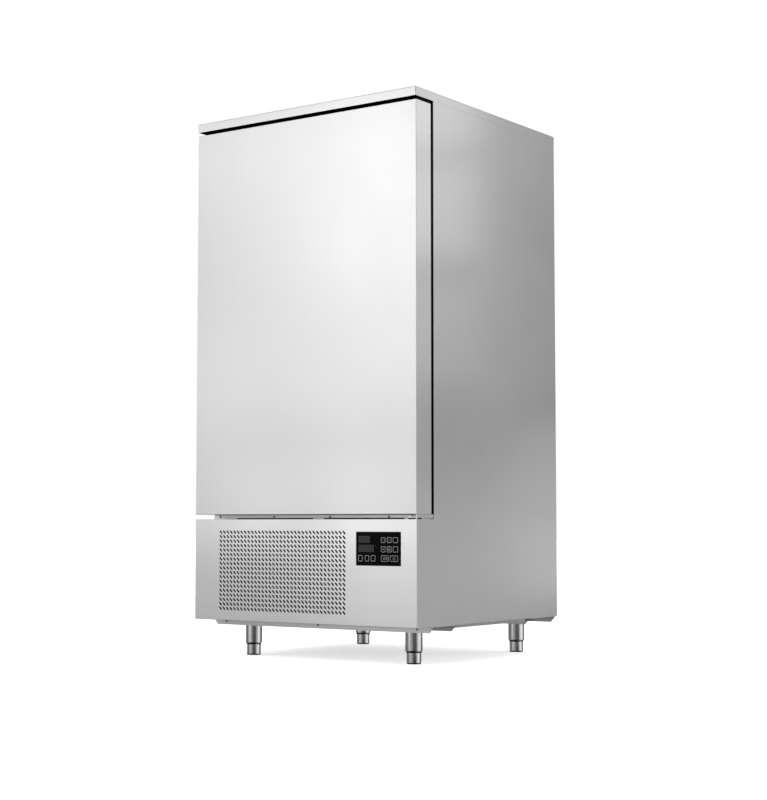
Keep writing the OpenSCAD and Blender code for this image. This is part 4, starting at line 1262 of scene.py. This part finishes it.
def world_tree(nt, levels, out):
    """Surroundings whose radiance runs straight between levels[band][k] at EL_NODES and AZ_NODES."""
    N, L = nt.nodes.new, nt.links.new
    co = N("ShaderNodeTexCoord")
    sep = N("ShaderNodeSeparateXYZ")
    L(co.outputs["Generated"], sep.inputs[0])
    neg = N("ShaderNodeMath")
    neg.operation = "MULTIPLY"
    neg.inputs[1].default_value = -1.0
    L(sep.outputs["Y"], neg.inputs[0])
    at = N("ShaderNodeMath")
    at.operation = "ARCTAN2"
    L(sep.outputs["X"], at.inputs[0])
    L(neg.outputs[0], at.inputs[1])
    turn = N("ShaderNodeMapRange")
    turn.inputs["From Min"].default_value = -PI
    turn.inputs["From Max"].default_value = PI
    L(at.outputs[0], turn.inputs["Value"])
    last = None
    for band, (z, azs, values) in enumerate(zip(EL_NODES, AZ_NODES, levels)):
        ramp = N("ShaderNodeValToRGB")
        ramp.color_ramp.interpolation = "LINEAR"
        el = ramp.color_ramp.elements
        for deg in azs[1:-1]:
            el.new((deg + 180) / 360)
        for e, v in zip(el, values):
            e.color = (v / PEAK, v / PEAK, v / PEAK, 1)
        L(turn.outputs[0], ramp.inputs[0])
        if last is None:
            last = ramp.outputs[0]
        else:
            rise = N("ShaderNodeMapRange")
            rise.inputs["From Min"].default_value = EL_NODES[band - 1]
            rise.inputs["From Max"].default_value = z
            L(sep.outputs["Z"], rise.inputs["Value"])
            mix = N("ShaderNodeMix")
            mix.data_type = "RGBA"
            L(rise.outputs[0], mix.inputs[0])
            L(last, mix.inputs[6])
            L(ramp.outputs[0], mix.inputs[7])
            last = mix.outputs[2]
    around = N("ShaderNodeBackground")
    around.inputs["Strength"].default_value = PEAK
    L(last, around.inputs["Color"])
    white = N("ShaderNodeBackground")
    white.inputs["Color"].default_value = (1, 1, 1, 1)
    path = N("ShaderNodeLightPath")
    pick = N("ShaderNodeMixShader")
    L(path.outputs["Is Camera Ray"], pick.inputs[0])
    L(around.outputs[0], pick.inputs[1])
    L(white.outputs[0], pick.inputs[2])
    L(pick.outputs[0], out.inputs[0])


def studio():
    cam = bpy.data.cameras.new("camera")
    cam.lens, cam.sensor_width, cam.sensor_fit = 76.15, 36.0, "AUTO"
    cam.clip_start, cam.clip_end = 0.05, 100.0
    co = bpy.data.objects.new("camera", cam)
    co.location = (3.112, -4.352, 0.411)
    co.rotation_euler = Euler((math.radians(94.14), 0.0, math.radians(35.409)))
    bpy.context.scene.collection.objects.link(co)
    bpy.context.scene.camera = co

    # floor: pale, with a glow that leaves only a soft shadow; the metal mirrors the surroundings instead of it
    bm = bmesh.new()
    n = 24
    grid = [[bm.verts.new((-30 + 60 * i / n, -30 + 60 * j / n, 0)) for j in range(n + 1)] for i in range(n + 1)]
    for i in range(n):
        for j in range(n):
            bm.faces.new((grid[i][j], grid[i + 1][j], grid[i + 1][j + 1], grid[i][j + 1]))
    me = bpy.data.meshes.new("floor")
    bm.to_mesh(me)
    bm.free()
    floor = bpy.data.objects.new("floor", me)
    bpy.context.scene.collection.objects.link(floor)
    floor.visible_glossy = False
    floor.visible_diffuse = False
    floor.visible_shadow = False
    m = bpy.data.materials.new("studio_floor")
    m.use_nodes = True
    nt = m.node_tree
    nt.nodes.clear()
    out = nt.nodes.new("ShaderNodeOutputMaterial")
    both = nt.nodes.new("ShaderNodeAddShader")
    dif = nt.nodes.new("ShaderNodeBsdfDiffuse")
    dif.inputs["Color"].default_value = (FLOOR_PALE, FLOOR_PALE, FLOOR_PALE, 1)
    em = nt.nodes.new("ShaderNodeEmission")
    em.inputs["Color"].default_value = (1, 1, 1, 1)
    em.inputs["Strength"].default_value = FLOOR_GLOW
    nt.links.new(dif.outputs[0], both.inputs[0])
    nt.links.new(em.outputs[0], both.inputs[1])
    nt.links.new(both.outputs[0], out.inputs[0])
    me.materials.append(m)

    # surroundings: white where the camera sees them; in the metal, the light and dark
    # parts of a studio
    world = bpy.data.worlds.new("studio")
    bpy.context.scene.world = world
    world.use_nodes = True
    world.node_tree.nodes.clear()
    world_tree(world.node_tree, AROUND, world.node_tree.nodes.new("ShaderNodeOutputWorld"))

    for name, at_, to_, size, power in LIGHTS:
        d = bpy.data.lights.new(name, "AREA")
        d.shape = "RECTANGLE"
        d.size, d.size_y = size
        d.energy = power
        d.color = (1.0, 1.0, 1.0)
        o = bpy.data.objects.new(name, d)
        o.location = at_
        o.rotation_euler = (Vector(to_) - Vector(at_)).to_track_quat("-Z", "Y").to_euler()
        o.visible_camera = False
        bpy.context.scene.collection.objects.link(o)

    sc = bpy.context.scene
    sc.view_settings.view_transform = "Standard"
    sc.view_settings.look = "None"
    sc.view_settings.exposure = 0.0
    sc.view_settings.gamma = 1.0


FLOOR_GLOW, FLOOR_PALE = 0.42, 3.2
AROUND = (
    (0.14, 0.27, 0.11, 0.19, 0, 0.01, 0, 0, 0.27, 0.71, 0.14),
    (0, 0.16, 0.26, 0.4, 0.17, 0.37, 0.66, 0.65, 0.42, 0.09, 0.02, 0.01, 0.67, 1.44, 0.96, 0, 0.34, 0),
    (0, 0.31, 0.28, 0.13, 0, 0, 1.16, 0.55, 0.44, 0.48, 1.27, 1.11, 1.54, 0.91, 0.58, 0, 0, 0),
    (0.15, 0.33, 0.16, 0.28, 0.61, 0, 0.15, 0.38, 0.93, 0.76, 0.15),
    (0.36, 0.38, 0.14, 0.32, 0.37, 0.18, 0.28, 0.18, 0.12, 0.22, 0.36),
)
LIGHTS = (
    ("softbox_front_1", (-1.98, -2.18, 0.18), (-0.4, -0.4, 0.25), (0.7, 0.5), 0.406),
    ("softbox_front_2", (-1.98, -2.18, 0.97), (-0.4, -0.4, 0.8), (0.7, 0.5), 1.7),
    ("softbox_front_3", (-1.98, -2.18, 1.55), (-0.4, -0.4, 1.2), (0.7, 0.5), 0.872),
    ("softbox_front_4", (-1.98, -2.18, 2.13), (-0.4, -0.4, 1.6), (0.7, 0.5), 1.671),
    ("softbox_front_5", (-1.4, -2.18, 1.55), (0, -0.4, 1.2), (0.7, 0.5), 0.234),
    ("softbox_front_6", (-0.82, -2.18, 0.18), (0.4, -0.4, 0.25), (0.7, 0.5), 0.736),
    ("softbox_front_7", (-0.82, -2.18, 0.97), (0.4, -0.4, 0.8), (0.7, 0.5), 1.361),
    ("softbox_front_8", (-0.82, -2.18, 1.55), (0.4, -0.4, 1.2), (0.7, 0.5), 1.809),
    ("softbox_front_9", (-0.82, -2.18, 2.13), (0.4, -0.4, 1.6), (0.7, 0.5), 2.53),
    ("softbox_side_1", (0.77, 0.14, 1.02), (0.41, -0.38, 0.95), (0.34, 0.3), 0.047),
    ("softbox_side_2", (0.77, 0.14, 1.42), (0.41, -0.38, 1.3), (0.34, 0.3), 0.116),
    ("softbox_side_3", (0.77, 0.14, 1.78), (0.41, -0.38, 1.62), (0.34, 0.3), 0.155),
    ("softbox_side_4", (0.77, 0.96, 0.29), (0.41, 0.35, 0.3), (0.34, 0.3), 0.101),
    ("softbox_side_5", (0.77, 0.96, 0.62), (0.41, 0.35, 0.6), (0.34, 0.3), 0.084),
    ("softbox_side_6", (0.77, 0.96, 1.02), (0.41, 0.35, 0.95), (0.34, 0.3), 0.016),
    ("softbox_front_10", (-0.86, -1.19, 1.9), (-0.2, -0.4, 1.65), (0.4, 0.3), 0.09),
    ("softbox_front_11", (-0.2, -1.19, 1.9), (0.35, -0.4, 1.65), (0.4, 0.3), 0.01),
    ("softbox_side_7", (-0.8, -0.91, 0.47), (-0.35, -0.4, 0.46), (0.4, 0.28), 0.094),
    ("softbox_side_8", (-0.41, -0.91, 0.47), (0, -0.4, 0.46), (0.4, 0.28), 0.1),
    ("softbox_side_9", (0, -0.91, 0.47), (0.36, -0.4, 0.46), (0.4, 0.28), 0.113),
    ("softbox_side_10", (1.12, 0.65, 0.27), (0.41, -0.38, 0.3), (0.75, 0.6), 0.07),
    ("softbox_side_11", (1.12, 0.65, 1.09), (0.41, -0.38, 0.95), (0.75, 0.6), 0.076),
    ("softbox_side_12", (1.12, 0.65, 1.53), (0.41, -0.38, 1.3), (0.75, 0.6), 0.104),
    ("softbox_side_13", (1.12, 0.65, 1.93), (0.41, -0.38, 1.62), (0.75, 0.6), 0.056),
    ("softbox_side_14", (1.12, 1.01, 0.27), (0.41, -0.1, 0.3), (0.75, 0.6), 0.095),
    ("softbox_side_15", (1.12, 1.01, 1.09), (0.41, -0.1, 0.95), (0.75, 0.6), 0.065),
    ("softbox_side_16", (1.12, 1.01, 1.53), (0.41, -0.1, 1.3), (0.75, 0.6), 0.029),
    ("softbox_side_17", (1.12, 1.57, 0.27), (0.41, 0.35, 0.3), (0.75, 0.6), 0.117),
    ("softbox_side_18", (1.12, 1.57, 0.65), (0.41, 0.35, 0.6), (0.75, 0.6), 0.008),
    ("softbox_side_19", (1.12, 1.57, 1.09), (0.41, 0.35, 0.95), (0.75, 0.6), 0.06),
)

studio()
